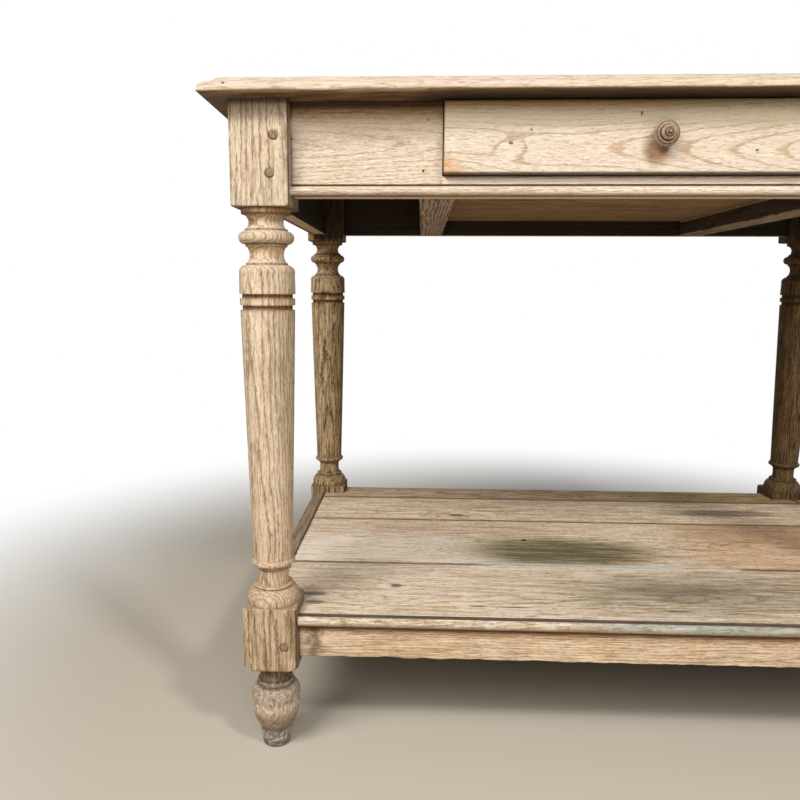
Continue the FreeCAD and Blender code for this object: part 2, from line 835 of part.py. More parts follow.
# Every piece is written to its own file
save("leg_front_left", leg(-1, -1))
save("leg_front_right", leg(1, -1))
save("leg_back_left", leg(-1, 1))
save("leg_back_right", leg(1, 1))

save("apron_front", apron_front.cut(peg_holes))
save("apron_back", apron_back.cut(peg_holes))
save("apron_left", apron_left.cut(peg_holes))
save("apron_right", apron_right.cut(peg_holes))
save("apron_moulding_front", moulding_front)
save("apron_moulding_left", moulding_left)
save("apron_moulding_right", moulding_right)
save("apron_pegs", group(apron_pegs))

save("stretcher_front", stretcher_front.cut(peg_holes))
save("stretcher_back", stretcher_back.cut(peg_holes))
save("stretcher_left", stretcher_left.cut(peg_holes))
save("stretcher_right", stretcher_right.cut(peg_holes))
save("stretcher_pegs", group(stretcher_pegs))

save("shelf_board_front", first_shelf_board().cut(screw_holes))
save("shelf_board_middle", inner_shelf_board(1).cut(screw_holes))
save("shelf_board_rear", inner_shelf_board(2).cut(screw_holes))
save("shelf_board_back_strip", inner_shelf_board(3).cut(screw_holes))
save("shelf_ledge_left", ledge_left.cut(screw_holes))
save("shelf_ledge_right", ledge_right.cut(screw_holes))
save("shelf_bearer", shelf_bearer.cut(screw_holes))
save("shelf_screws", group(shelf_screws))

for index, name in enumerate(("front", "mid_front", "mid_back", "back")):
    save("top_board_" + name, top_board(index))
save("top_glue_blocks", group(glue_blocks()))

save("runner_left", runner(-1))
save("runner_right", runner(1))
save("runner_guide_left", runner_guide(-1))
save("runner_guide_right", runner_guide(1))
save("drawer_stops", group([drawer_stop(-1), drawer_stop(1)]))

save("drawer_front", drawer_front())
save("drawer_side_left", drawer_side(-1, left_front_tails, left_back_tails))
save("drawer_side_right", drawer_side(1, right_front_tails, right_back_tails))
save("drawer_back", drawer_back())
for index, name in enumerate(("front", "middle", "rear")):
    save("drawer_bottom_" + name, drawer_panel_board(index))
save("drawer_knob", drawer_knob())
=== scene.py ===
import bpy
from math import cos, radians, sin
from mathutils import Matrix, Vector


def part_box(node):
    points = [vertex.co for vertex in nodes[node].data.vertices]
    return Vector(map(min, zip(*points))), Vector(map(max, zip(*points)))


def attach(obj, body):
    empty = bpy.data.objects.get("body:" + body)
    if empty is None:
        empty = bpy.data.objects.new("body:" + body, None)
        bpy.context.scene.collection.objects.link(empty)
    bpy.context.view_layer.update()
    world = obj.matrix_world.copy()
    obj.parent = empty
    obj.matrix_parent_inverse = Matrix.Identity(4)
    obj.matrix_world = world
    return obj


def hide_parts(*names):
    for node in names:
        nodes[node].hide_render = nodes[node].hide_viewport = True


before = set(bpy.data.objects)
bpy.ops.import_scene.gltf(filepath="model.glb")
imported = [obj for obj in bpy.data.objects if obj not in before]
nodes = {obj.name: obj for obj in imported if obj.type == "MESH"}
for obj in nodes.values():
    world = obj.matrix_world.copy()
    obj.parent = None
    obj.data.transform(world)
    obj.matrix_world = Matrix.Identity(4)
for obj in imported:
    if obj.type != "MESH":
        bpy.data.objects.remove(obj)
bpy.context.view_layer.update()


# The four legs. Each is one square of old oak, turned between an upper and a lower block that
# are left square for the rails. The wood was stripped and scrubbed, so it is pale and dry, with
# dark open pores; the feet have gone grey from wet floors.

def corners(node):
    """The lowest and the highest corner of a CAD node, in millimetres."""
    return [[value * 1000 for value in corner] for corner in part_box(node)]


(leg_inner_x, leg_inner_y, _), (leg_outer_x, leg_outer_y, leg_top) = corners("leg_back_right")
leg_x, leg_y = (leg_inner_x + leg_outer_x) / 2, (leg_inner_y + leg_outer_y) / 2
shelf_bottom, shelf_top = [corner[2] for corner in corners("shelf_board_front")]
block_bottom = leg_top - 121.5
low_block_top = shelf_top + 13.0
foot_top = low_block_top - 87.0
peg_places = ((17.0, leg_top - 40.5), (22.5, leg_top - 83.5), (16.0, shelf_bottom - 24.0))
groove_heights = (610.0, 595.9)
# The height, the reach and the share of the grime and painted shade in each recess the lathe cut.
recesses = ((716.2, 2.2, 0.55), (709.6, 2.6, 0.6), (690.4, 2.0, 0.6), (673.4, 1.8, 0.6),
            (649.0, 1.8, 0.6), (610.0, 3.6, 0.66), (595.9, 3.8, 0.70), (258.6, 1.9, 0.8),
            (253.4, 1.6, 0.55), (229.3, 1.4, 0.65), (208.3, 0.6, 0.6), (120.0, 4.0, 0.8),
            (97.0, 1.4, 0.6), (89.0, 1.6, 0.6), (27.0, 1.8, 0.35))
# The top, depth and share of the brown painted shade below the two blocks and the upper torus.
painted_shades = ((717, 24, 0.75), (673, 18, 0.55), (120, 16, 0.60))

# Grime. The same colour is also painted as shade in recesses, corners, gaps and under the top.
grime_and_shade = (0.050, 0.029, 0.016, 1)
# Near black, painted as shade on inner faces and undersides.
painted_shade_black = (0.030, 0.018, 0.011, 1)
foot_wash = (0.90, 0.82, 0.72, 1)
foot_dirt = (0.25, 0.21, 0.17, 1)
foot_bare = (0.90, 0.83, 0.74, 1)
tip_grey = (0.15, 0.138, 0.12, 1)
tip_bare = (0.80, 0.77, 0.72, 1)
tide_grey = (0.46, 0.42, 0.38, 1)
foot_grey = (0.66, 0.66, 0.67, 1)
neck_painted_shade = (0.30, 0.27, 0.24, 1)
low_brown = (0.88, 0.78, 0.64, 1)
groove_brown = (0.66, 0.42, 0.24, 1)
painted_shade_brown = (0.76, 0.58, 0.36, 1)
block_grey = (0.90, 0.90, 0.91, 1)
block_streak = (0.55, 0.42, 0.29, 1)


class Value:
    """One socket of a finish. Sums on values add Math nodes; node() adds any other kind."""

    def __init__(self, socket):
        self.socket = socket

    def node(self, kind, inputs, settings={}, output=0):
        tree = self.socket.id_data
        made = tree.nodes.new("ShaderNode" + kind)
        for key, setting in settings.items():
            setattr(made, key, setting)
        for key, given in inputs.items():
            if isinstance(given, Value):
                tree.links.new(given.socket, made.inputs[key])
            else:
                made.inputs[key].default_value = given
        return Value(made.outputs[output]) if made.outputs else None

    def sum(self, operation, *terms):
        return self.node("Math", dict(enumerate(terms)), {"operation": operation})

    def __add__(self, other):
        return self.sum("ADD", self, other)

    def __radd__(self, other):
        return self.sum("ADD", other, self)

    def __sub__(self, other):
        return self.sum("SUBTRACT", self, other)

    def __rsub__(self, other):
        return self.sum("SUBTRACT", other, self)

    def __mul__(self, other):
        return self.sum("MULTIPLY", self, other)

    def __rmul__(self, other):
        return self.sum("MULTIPLY", other, self)

    def __truediv__(self, other):
        return self.sum("DIVIDE", self, other)

    def __pow__(self, other):
        return self.sum("POWER", self, other)

    def __abs__(self):
        return self.sum("ABSOLUTE", self)


def rise(value, start, end):
    """0 where the value is below start, 1 above end, smooth between."""
    return value.node("MapRange", {"Value": value, "From Min": start, "From Max": end},
                      {"interpolation_type": "SMOOTHSTEP"})


def dyed(colour, other, share, blend="MIX"):
    """The colour with a share of another colour in it."""
    return share.node("Mix", {0: share, 6: colour, 7: other},
                      {"data_type": "RGBA", "blend_type": blend}, output=2)


def stained(colour, tint, share):
    """The colour darkened by a share of a tint, as a thin stain does."""
    return dyed(colour, tint, share, "MULTIPLY")


def rough_noise(x, y, z, detail=2.0, roughness=0.5, output=0):
    """Cloudy noise, about 0.25 to 0.75, with one cloud for each unit of x, y and z."""
    place = x.node("CombineXYZ", {"X": x, "Y": y, "Z": z})
    return place.node("TexNoise", {"Vector": place, "Scale": 1.0, "Detail": detail,
                                   "Roughness": roughness}, output=output)


def round_spot(place, centre, size):
    """1 at the centre of an egg-shaped spot, falling to 0; centre and size in millimetres."""
    shares = [(place[i] - centre[i]) / size[i] for i in range(3)]
    far = shares[0] * shares[0] + shares[1] * shares[1] + shares[2] * shares[2]
    return far.sum("EXPONENT", 0 - far)


def beside(value, line, reach):
    """1 where the value is at the line, fading to 0 at the reach on either side."""
    return 1 - rise(abs(value - line), 0.0, reach)


def oak(name, along, heart, lean=(0.0, 0.0), ring=3.4, sway=7.0, seed=0.0, eyes=(), marks=None,
        light=(0.76, 0.58, 0.395), mid=(0.47, 0.32, 0.185), dark=(0.20, 0.12, 0.065),
        early=0.42, lines=0.45, ragged=1.0, wide=1.0, pore=0.55, fleck=0.4, cloud=0.6, dry=0.45,
        coarse=1.0):
    """Solid oak as it is sawn from the log: rings round a heart line, pores in the early wood,
    rays across the rings. along is the axis of the grain, and heart where the heart line runs
    in the other two, in millimetres; lean is its slope. Each eye (point, size, swell) bends the
    rings round a knot. marks(place, colour) may add a board's own marks."""
    material = bpy.data.materials.new(name)
    material.use_nodes = True
    tree = material.node_tree
    tree.nodes.clear()
    metres = Value(tree.nodes.new("ShaderNodeTexCoord").outputs["Object"])
    parts = metres.node("VectorMath", {0: metres, "Scale": 1000.0}, {"operation": "SCALE"})
    place = [parts.node("SeparateXYZ", {0: parts}, output=i) for i in range(3)]
    first, second = [i for i in range(3) if i != "XYZ".index(along)]
    grain, flat, deep = place["XYZ".index(along)], place[first], place[second]

    # The rings, counted outwards from a heart line that wanders. grain runs along the board,
    # flat and deep across it.
    drift = rough_noise(grain / 380 + seed, flat / 90, deep / 90 + seed, 2.0, 0.5, 1)
    bend = [drift.node("SeparateColor", {0: drift}, output=i) - 0.5 for i in range(3)]
    across = flat - heart[0] - grain * lean[0] + bend[0] * (2 * sway)
    through = deep - heart[1] - grain * lean[1] + bend[1] * (2 * sway)
    radius = (across * across + through * through) ** 0.5
    for centre, size, swell in eyes:
        reach = [size, size, size]
        reach["XYZ".index(along)] = size * 2.2
        radius = radius + swell * round_spot(place, centre, reach)
    small = rough_noise(grain / 40 + seed, flat / 8, deep / 8, 3.0, 0.6)
    year = radius / ring + bend[2] * (3.0 * ragged) + (small - 0.5) * (1.1 * ragged)
    part = year.sum("FRACT", year)
    band = rise(part, 0.0, 0.06) * (1 - rise(part, early * 0.35, early))

    # Pores, streaks, fibre and threads are long along the grain; rays stand across the rings.
    pores = rough_noise(grain / 7 + seed, flat / (0.62 * wide), deep / (0.62 * wide), 1.0, 0.5)
    pore_mask = rise(pores + band * 0.13, 0.59, 0.70)
    streaks = rough_noise(grain / (22 * wide), flat / (1.15 * wide),
                          deep / (1.15 * wide) + seed, 2.0, 0.65)
    fibre = rough_noise(grain / 55 + seed, flat / (3.4 * wide), deep / (3.4 * wide), 3.0, 0.65)
    threads = rough_noise(grain / (13 * wide) + seed, flat / (0.9 * wide) + 7,
                          deep / (0.9 * wide), 1.0, 0.5)
    turn = through.sum("ARCTAN2", through, across) * 90.0
    rays = rough_noise(radius / 12 + seed, turn / 0.9, grain / 6.0, 1.0, 0.5)
    ray_mask = rise(rays, 0.57, 0.69)
    clouds = rough_noise(grain / 230 + seed, flat / 50, deep / 50, 2.0, 0.5)
    patches = rough_noise(grain / 70, flat / 20 + seed, deep / 20, 3.0, 0.65)

    tone = (band * lines + (streaks - 0.5) * (2.6 * coarse) + (fibre - 0.5) * (2.2 * coarse)
            + (clouds - 0.5) * (2.2 * cloud) + 0.36)
    cool_patch, warm_patch = (0.72, 0.77, 0.82, 1), (1.0, 0.84, 0.66, 1)
    colour = dyed((*light, 1), (*mid, 1), rise(tone, -0.3, 1.2))
    colour = stained(colour, cool_patch, rise(patches, 0.46, 0.68) * (0.5 * cloud))
    colour = stained(colour, warm_patch, rise(0 - patches, -0.46, -0.30) * (0.5 * cloud))
    pale = tuple(min(0.95, channel * 1.22 + 0.02) for channel in light)
    colour = dyed(colour, (*pale, 1), rise(threads, 0.56, 0.70) * dry)
    colour = dyed(colour, (*dark, 1), ray_mask * (fleck * 0.55))
    colour = dyed(colour, (*dark, 1), pore_mask * pore)
    height = 0 - pore_mask * 0.35 - band * 0.15 + (streaks - 0.5) * 0.6
    if marks:
        colour = marks(place, colour)

    uneven = height.node("Bump", {"Height": height, "Strength": 0.7, "Distance": 0.0010})
    shine = 0.74 + band * 0.10 + pore_mask * 0.10
    wood = height.node("BsdfPrincipled", {"Base Color": colour, "Roughness": shine,
                                          "Specular IOR Level": 0.25, "Normal": uneven})
    wood.node("OutputMaterial", {"Surface": wood})
    return material


def dress(material, *names):
    """Gives CAD nodes their finish; their shapes stay as they are."""
    for name in names:
        for slot in nodes[name].material_slots:
            slot.material = material


def grime_and_shade_lines(colour, value, lines):
    """Grime and painted shade gathered in narrow recesses, each given as (place, reach, share)."""
    for line, reach, share in lines:
        colour = dyed(colour, grime_and_shade, beside(value, line, reach) * share)
    return colour


def leg_marks(side_x, side_y):
    """One leg's marks: grime and painted shade in every recess the lathe left, round the pegs and
    on the inner faces; painted shade under the top and below the blocks; darker towards the
    floor, and a foot gone grey."""
    front = side_y < 0

    def marks(place, colour):
        x, y, z = place
        patchy = rough_noise(x / 9, y / 9, z / 16, 3.0, 0.7)
        blotchy = rough_noise(x / 4, y / 4, z / 5, 3.0, 0.7)

        # The foot is washed out and blotched, with a tide mark above a grey tip.
        foot = 1 - rise(z, foot_top - 5, foot_top + 1)
        colour = dyed(colour, foot_wash, foot * 0.22)
        colour = dyed(colour, foot_dirt, foot * rise(blotchy, 0.50, 0.62) * 0.60)
        colour = dyed(colour, foot_bare, foot * rise(0 - blotchy, -0.48, -0.36) * 0.65)
        tip = 1 - rise(z + (patchy - 0.5) * 34, 22, 36)
        colour = dyed(colour, tip_grey, tip * 0.84)
        colour = dyed(colour, tip_bare, tip * rise(blotchy, 0.48, 0.60) * 0.65)
        colour = dyed(colour, grime_and_shade, (1 - rise(z + (patchy - 0.5) * 16, 4, 15)) * 0.45)
        tide = (1 - rise(z + (blotchy - 0.5) * 26, 44, 62)) * rise(z, 18, 30)
        colour = stained(colour, tide_grey, tide * 0.80)
        colour = stained(colour, foot_grey, foot * rise(z, 60, 78) * 0.85)

        # Above it the wood is browner towards the floor, with painted shade right under the top.
        colour = stained(colour, low_brown, (1 - rise(z, 90, 520)) * (0.5 if front else 0.2))
        colour = dyed(colour, grime_and_shade, rise(z, leg_top - 32, leg_top) * 0.25
                      + rise(z, leg_top - 9, leg_top - 2) * 0.55)
        for groove in groove_heights:
            colour = stained(colour, groove_brown, beside(z, groove - 1.0, 6.5) * 0.8)
        # Grime and painted shade in the recesses.
        colour = grime_and_shade_lines(colour, z, recesses)
        # Painted shade on the neck under the lower block, in patches.
        neck = rise(z, foot_top - 37, foot_top - 21) * (1 - rise(z, foot_top - 2, foot_top))
        colour = stained(colour, neck_painted_shade, neck * rise(patchy, 0.30, 0.55) * 0.85)
        # Painted shade below the two blocks and the upper torus.
        for top, depth, share in painted_shades:
            shade = rise(z, top - depth, top - 2) * (1 - rise(z, top - 1, top))
            colour = stained(colour, painted_shade_brown, shade * share)

        # The blocks: grime and painted shade beside the rails, painted shade on the inner faces,
        # and grime round each peg with a painted shadow below it.
        lower_block = (rise(z, foot_top - 1, foot_top + 1)
                       * (1 - rise(z, low_block_top - 2, low_block_top)))
        blocks = rise(z, block_bottom - 1.5, block_bottom + 0.5) + lower_block
        colour = stained(colour, block_grey, blocks * 0.8)
        # Grime and painted shade on the side faces beside the rails, darkest in the front corner.
        beside_rail = 1 - rise(x * side_x, leg_inner_x - 0.4, leg_inner_x + 2.4)
        corner = 1 - rise(0 - y * side_y, 2.0 - leg_outer_y, 7.5 - leg_outer_y)
        colour = dyed(colour, grime_and_shade, beside_rail * blocks
                      * (0.28 + 0.66 * corner if front else 0.60))
        # Painted shade makes the upper block's inner faces near black.
        inside = ((1 - rise(y * side_y, leg_inner_y + 0.2, leg_inner_y + 2.5))
                  * (1 - rise(x * side_x, leg_outer_x - 14, leg_outer_x - 11)))
        colour = dyed(colour, painted_shade_black,
                      inside * rise(z, block_bottom - 4.5, block_bottom + 5.5) * 0.93)
        streak = rough_noise(x / 3.2, y / 3.2, z / 90, 3.0, 0.7)
        colour = stained(colour, block_streak, lower_block * rise(streak, 0.50, 0.60)
                         * (0.75 if front else 0.50))
        for peg_inset, peg_height in peg_places:
            off_x, off_z = x - side_x * (leg_inner_x + peg_inset), z - peg_height
            ring_gap = (off_x * off_x + off_z * off_z) ** 0.5
            face = rise(y * side_y, leg_outer_y - 4, leg_outer_y - 1)
            # The ring is darker below the peg: a painted shadow under its head.
            below = 0.45 + 0.5 * rise(0 - off_z - off_x * 0.6, -4.0, 4.0)
            colour = dyed(colour, grime_and_shade, beside(ring_gap, 5.0, 2.6) * face * below)
        return colour
    return marks


front_leg = dict(sway=5.0, lines=0.50, pore=0.66, wide=1.2, light=(0.77, 0.61, 0.44),
                 mid=(0.40, 0.275, 0.16))
dress(oak("leg_oak_front_left", "Z", (30 - leg_x, 84 - leg_y), lean=(0.01, -0.025), seed=3.0,
          marks=leg_marks(-1, -1), **front_leg), "leg_front_left")
dress(oak("leg_oak_front_right", "Z", (leg_x + 55, 48 - leg_y), lean=(-0.01, 0.02), seed=11.0,
          marks=leg_marks(1, -1), **front_leg), "leg_front_right")
# The back legs get darker colours than the front ones, the right one much darker: painted shade.
dress(oak("leg_oak_back_left", "Z", (-10 - leg_x, leg_y + 55), lean=(0.02, -0.05), seed=7.0,
          light=(0.62, 0.44, 0.245), mid=(0.15, 0.092, 0.040), dark=(0.06, 0.034, 0.017),
          wide=2.3, pore=0.75, dry=0.7, eyes=(((-455, 265, 585), 14, 9),),
          marks=leg_marks(-1, 1)), "leg_back_left")
dress(oak("leg_oak_back_right", "Z", (leg_x + 6, leg_y - 80), lean=(0.03, 0.05), seed=19.0,
          light=(0.22, 0.135, 0.056), mid=(0.065, 0.038, 0.015), dark=(0.03, 0.018, 0.008),
          wide=2.6, pore=0.75, dry=0.6, eyes=(((476, 262, 520), 12, 9), ((470, 262, 470), 12, 8)),
          marks=leg_marks(1, 1)), "leg_back_right")


# The aprons. The front one is a single board, notched for the drawer; the back and the sides
# are plain. All are tenoned into the legs. Outside they are as pale as the legs; their inner
# faces were never scrubbed, and are painted nearly black, as dark wood and painted shade.

under_top = leg_top
moulding_bottom, moulding_top = [corner[2] for corner in corners("apron_moulding_front")]
drawer_near, drawer_far = corners("drawer_front")
opening_left, opening_right = drawer_near[0] - 1.2, drawer_far[0] + 1.2
opening_floor = drawer_near[2] - 1.0
nail_holes = ((-280.3, -314, 817.0), (-285.0, -314, 759.0))

# Near black: dark inner wood with painted shade on it.
inner_dark_and_shade = (0.014, 0.007, 0.004, 1)
painted_under_top_shade = (0.54, 0.335, 0.150, 1)
nail_rust = (0.62, 0.36, 0.16, 1)
painted_light_under_drawer = (0.97, 0.83, 0.67, 1)
painted_light_band = (0.98, 0.78, 0.53, 1)


def rail_marks(axis, inner, sign, end_axis, end):
    """Marks for a rail: its face at inner is nearly black, dark wood with painted shade; painted
    shade lies under the top, and grime with painted shade in the quirk and at its two ends
    against the legs."""
    def marks(place, colour):
        z = place[2]
        patchy = rough_noise(place[0] / 30, place[1] / 30, z / 5, 3.0, 0.65)
        # Painted shade under the top's overhang, brown and then dark.
        band = rise(z + (patchy - 0.5) * 14, under_top - 30, under_top - 2)
        colour = stained(colour, painted_under_top_shade, band * 0.90)
        colour = dyed(colour, grime_and_shade, rise(z, under_top - 11, under_top - 4) * 0.84)
        colour = grime_and_shade_lines(colour, z, ((moulding_top + 1.3, 1.7, 0.95),))
        colour = dyed(colour, grime_and_shade, rise(abs(place[end_axis]), end - 4.5, end - 0.5) * 0.72)
        inside = 1 - rise((place[axis] - inner) * sign, 0.2, 1.4)
        return dyed(colour, inner_dark_and_shade, inside * 0.96)
    return marks


def front_rail_marks(place, colour):
    """The front rail also has two nail holes left of the drawer. Painted light makes it pale at
    the height of the drawer's upper half and just below the drawer, and a painted shadow
    darkens it where the drawer sits on it."""
    x, z = place[0], place[2]
    colour = rail_marks(1, corners("apron_front")[1][1], -1, 0, leg_inner_x)(place, colour)
    for hole in nail_holes:
        colour = dyed(colour, nail_rust, round_spot(place, hole, (6, 6, 4)) * 0.4)
        colour = dyed(colour, grime_and_shade, rise(round_spot(place, hole, (1.7, 6, 1.7)), 0.30, 0.6))
    below = (rise(x, opening_left - 0.5, opening_left + 1.5)
             * (1 - rise(x, opening_right - 1.5, opening_right + 0.5)))
    # Painted light below the drawer, its painted shadow right under it, and painted light higher
    # up.
    colour = dyed(colour, painted_light_under_drawer, below * rise(z, moulding_top + 2.6, moulding_top + 3.4)
                  * (1 - rise(z, opening_floor - 4.5, opening_floor - 1.5)) * 0.75)
    colour = dyed(colour, grime_and_shade, below * rise(z, opening_floor - 2, opening_floor) * 0.85)
    return dyed(colour, painted_light_band, beside(z, under_top - 28, 17) * (1 - below) * 0.50)


dress(oak("apron_front_oak", "X", (-250, 800), lean=(0.02, 0.03), ring=2.4, sway=5.0, seed=5.0,
          light=(0.80, 0.665, 0.535), mid=(0.59, 0.45, 0.325), dark=(0.26, 0.145, 0.07),
          lines=0.15, fleck=0.5, pore=0.52, cloud=0.15, dry=0.6, coarse=0.5, wide=0.9,
          marks=front_rail_marks), "apron_front")
dress(oak("apron_back_oak", "X", (360, 900), ring=3.0, seed=23.0, marks=rail_marks(
    1, corners("apron_back")[0][1], 1, 0, leg_inner_x)), "apron_back")
dress(oak("apron_left_oak", "Y", (-540, 850), ring=3.0, seed=29.0, marks=rail_marks(
    0, corners("apron_left")[1][0], -1, 1, leg_inner_y)), "apron_left")
dress(oak("apron_right_oak", "Y", (560, 870), ring=3.0, seed=31.0, marks=rail_marks(
    0, corners("apron_right")[0][0], 1, 1, leg_inner_y)), "apron_right")


# The mouldings under the aprons: a half round run in thin oak strips, glued on flush with the
# aprons' lower edges.

moulding_painted_shade = (0.40, 0.25, 0.13, 1)


def moulding_marks(place, colour):
    """Scrubbed pale on the round, brown painted shade below it, and grime with painted shade in
    the quirk above and along the lower edge.
    """
    x, y, z = place
    patchy = rough_noise(x / 26, y / 26, z / 3, 3.0, 0.65)
    low = 1 - rise(z + (patchy - 0.5) * 5, moulding_bottom + 0.5, moulding_bottom + 5.6)
    colour = dyed(colour, moulding_painted_shade, low * 0.60)
    return grime_and_shade_lines(colour, z, ((moulding_top + 0.3, 1.2, 0.92),
                                   (moulding_bottom - 0.4, 1.9, 0.92)))


dress(oak("moulding_front_oak", "X", (-380, 690), ring=2.8, seed=37.0, fleck=0.2, pore=0.45,
          light=(0.81, 0.67, 0.52), mid=(0.52, 0.385, 0.26), marks=moulding_marks),
      "apron_moulding_front")
dress(oak("moulding_side_oak", "Y", (-560, 690), ring=2.8, seed=41.0, fleck=0.2,
          marks=moulding_marks), "apron_moulding_left", "apron_moulding_right")


# The pegs. Each is a short oak pin, split and shaved round, driven through the block and the
# tenon, with its end grain showing. They are a little darker than the blocks.

dress(oak("peg_oak", "Y", (12, -8), ring=1.6, sway=3.0, light=(0.42, 0.27, 0.155),
          mid=(0.24, 0.145, 0.078), dark=(0.08, 0.045, 0.024)), "apron_pegs", "stretcher_pegs")


# The stretchers, four oak rails tenoned low into the legs under the shelf. The lower front edge
# has been kicked and chipped from end to end.

stretcher_bottom, stretcher_top = [corner[2] for corner in corners("stretcher_front")]
stretcher_back = corners("stretcher_front")[1][1]
side_stretcher_inner = corners("stretcher_right")[0][0]
# Where the chips are, and how deep and how long they are, in metres.
chips_below, chips_before, chips_end, chips_fade = 0.1364, -0.305, 0.4435, 0.010
chip_depth, chip_length, stretcher_cuts = 0.0036, 0.013, 180

damp_grey = (0.120, 0.080, 0.050, 1)
painted_under_shelf_shade = (0.50, 0.33, 0.19, 1)


def stretcher_marks(place, colour):
    """Warm and clean in the middle, with painted shade under the shelf, a near black back face of
    painted shade, grime with painted shade at the legs, and a grey, wet left end.
    """
    x, y, z = place
    wave = (rough_noise(x / 14, y / 14, z / 12) - 0.5) * 30
    streak = rough_noise(x / 30, y / 6, z / 3.0, 3.0, 0.65)
    colour = dyed(colour, damp_grey, beside(x + wave, -422, 15) * 0.78)
    # Painted shade under the shelf's nose.
    under = rise(z + (streak - 0.5) * 20, stretcher_top - 18, stretcher_top - 2)
    colour = stained(colour, painted_under_shelf_shade, under * 0.85)
    colour = dyed(colour, grime_and_shade, rise(z, stretcher_top - 7, stretcher_top - 1) * 0.9)
    # Painted shade makes its back face near black.
    colour = dyed(colour, painted_shade_black, rise(y, stretcher_back - 1.0, stretcher_back - 0.3) * 0.94)
    foot_line = rise(z + (streak - 0.5) * 4, stretcher_bottom + 0.5, stretcher_bottom + 3)
    colour = dyed(colour, grime_and_shade, (1 - foot_line) * 0.5)
    return dyed(colour, grime_and_shade, rise(abs(x), leg_inner_x - 4.5, leg_inner_x - 0.5) * 0.85)


def side_stretcher_marks(place, colour):
    """Dirt along the inner edge, beside the shelf's ends."""
    inward = rise(0 - abs(place[0]), -4.0 - side_stretcher_inner, -0.6 - side_stretcher_inner)
    return dyed(colour, grime_and_shade, inward * 0.88)


dress(oak("stretcher_front_oak", "X", (-360, 120), lean=(0.0, 0.02), ring=2.6, seed=43.0,
          light=(0.79, 0.60, 0.415), mid=(0.47, 0.31, 0.175), fleck=0.15, pore=0.45, lines=0.3,
          wide=1.6, marks=stretcher_marks), "stretcher_front")
dress(oak("stretcher_back_oak", "X", (360, 100), ring=3.0, seed=47.0), "stretcher_back")
dress(oak("stretcher_side_oak", "Y", (-540, 90), ring=3.0, seed=53.0, wide=1.6, coarse=0.7,
          light=(0.40, 0.295, 0.18), mid=(0.17, 0.115, 0.066), marks=side_stretcher_marks),
      "stretcher_left", "stretcher_right")


def cut_across(plane, normal):
    """Cuts every face of the piece in edit mode along a plane, and keeps both sides."""
    bpy.ops.mesh.select_all(action="SELECT")
    bpy.ops.mesh.bisect(plane_co=plane, plane_no=normal)


def worn_copy(name, node, worn, cuts, depth, lump, seams=()):
    """A copy of a rail or board with one long edge chipped and rubbed away. It is cut across
    many times, and the points that worn() weighs are then pushed up by soft lumps. Each seam
    is one more cut, a plane's point and normal, that keeps the wear on its own side."""
    bpy.ops.object.select_all(action="DESELECT")
    piece = bpy.data.objects.new(name, nodes[node].data.copy())
    bpy.context.scene.collection.objects.link(piece)
    piece.select_set(True)
    bpy.context.view_layer.objects.active = piece
    bpy.ops.mesh.customdata_custom_splitnormals_clear()
    bpy.ops.object.mode_set(mode="EDIT")
    bpy.ops.mesh.select_all(action="SELECT")
    bpy.ops.mesh.remove_doubles(threshold=1e-6)
    bpy.ops.mesh.dissolve_limited(angle_limit=radians(0.5))
    low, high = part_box(node)
    for step in range(1, cuts):
        cut_across((low[0] + (high[0] - low[0]) * step / cuts, 0, 0), (1, 0, 0))
    for plane, normal in seams:
        cut_across(plane, normal)
    bpy.ops.object.mode_set(mode="OBJECT")
    group = piece.vertex_groups.new(name="worn")
    for point in piece.data.vertices:
        group.add([point.index], worn(*point.co), "REPLACE")
    lumps = bpy.data.textures.new(name, "CLOUDS")
    lumps.noise_scale, lumps.noise_depth = lump, 2
    wear = piece.modifiers.new("wear", "DISPLACE")
    wear.texture, wear.texture_coords, wear.direction = lumps, "LOCAL", "Z"
    wear.vertex_group, wear.strength, wear.mid_level = "worn", depth, 0.15
    bpy.ops.object.modifier_apply(modifier="wear")
    bpy.ops.object.shade_smooth_by_angle(angle=radians(30))
    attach(piece, "table")
    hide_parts(node)
    return piece


def stretcher_wear(x, y, z):
    """The chips are on the lower front edge, and die out at the legs."""
    on_edge = z < chips_below and abs(x) < chips_end
    fading = min(1.0, (chips_end - abs(x)) / chips_fade)
    return on_edge * fading * (1.0 if y < chips_before else 0.25)


worn_copy("stretcher_front_worn", "stretcher_front", stretcher_wear, stretcher_cuts,
                  chip_depth, chip_length)


# The shelf: four oak boards lying lengthwise, the front one with a quirk and a rounded nose.
# They are screwed from below, and have dried in streaks of brown, grey and bleached wood.

shelf_end = corners("shelf_board_middle")[1][0]
quirk_line, nose_line = -317.4, -317.5


def seam_between(front, back):
    """Where the seam between two boards runs in Y."""
    return (corners(front)[1][1] + corners(back)[0][1]) / 2


front_seam = seam_between("shelf_board_front", "shelf_board_middle")
rear_seam = seam_between("shelf_board_middle", "shelf_board_rear")
strip_seam = seam_between("shelf_board_rear", "shelf_board_back_strip")

seam_brown = (0.30, 0.19, 0.11, 1)
damp_brown = (0.68, 0.53, 0.37, 1)
bleached_pale = (0.93, 0.84, 0.70, 1)
speckle_brown = (0.52, 0.40, 0.28, 1)
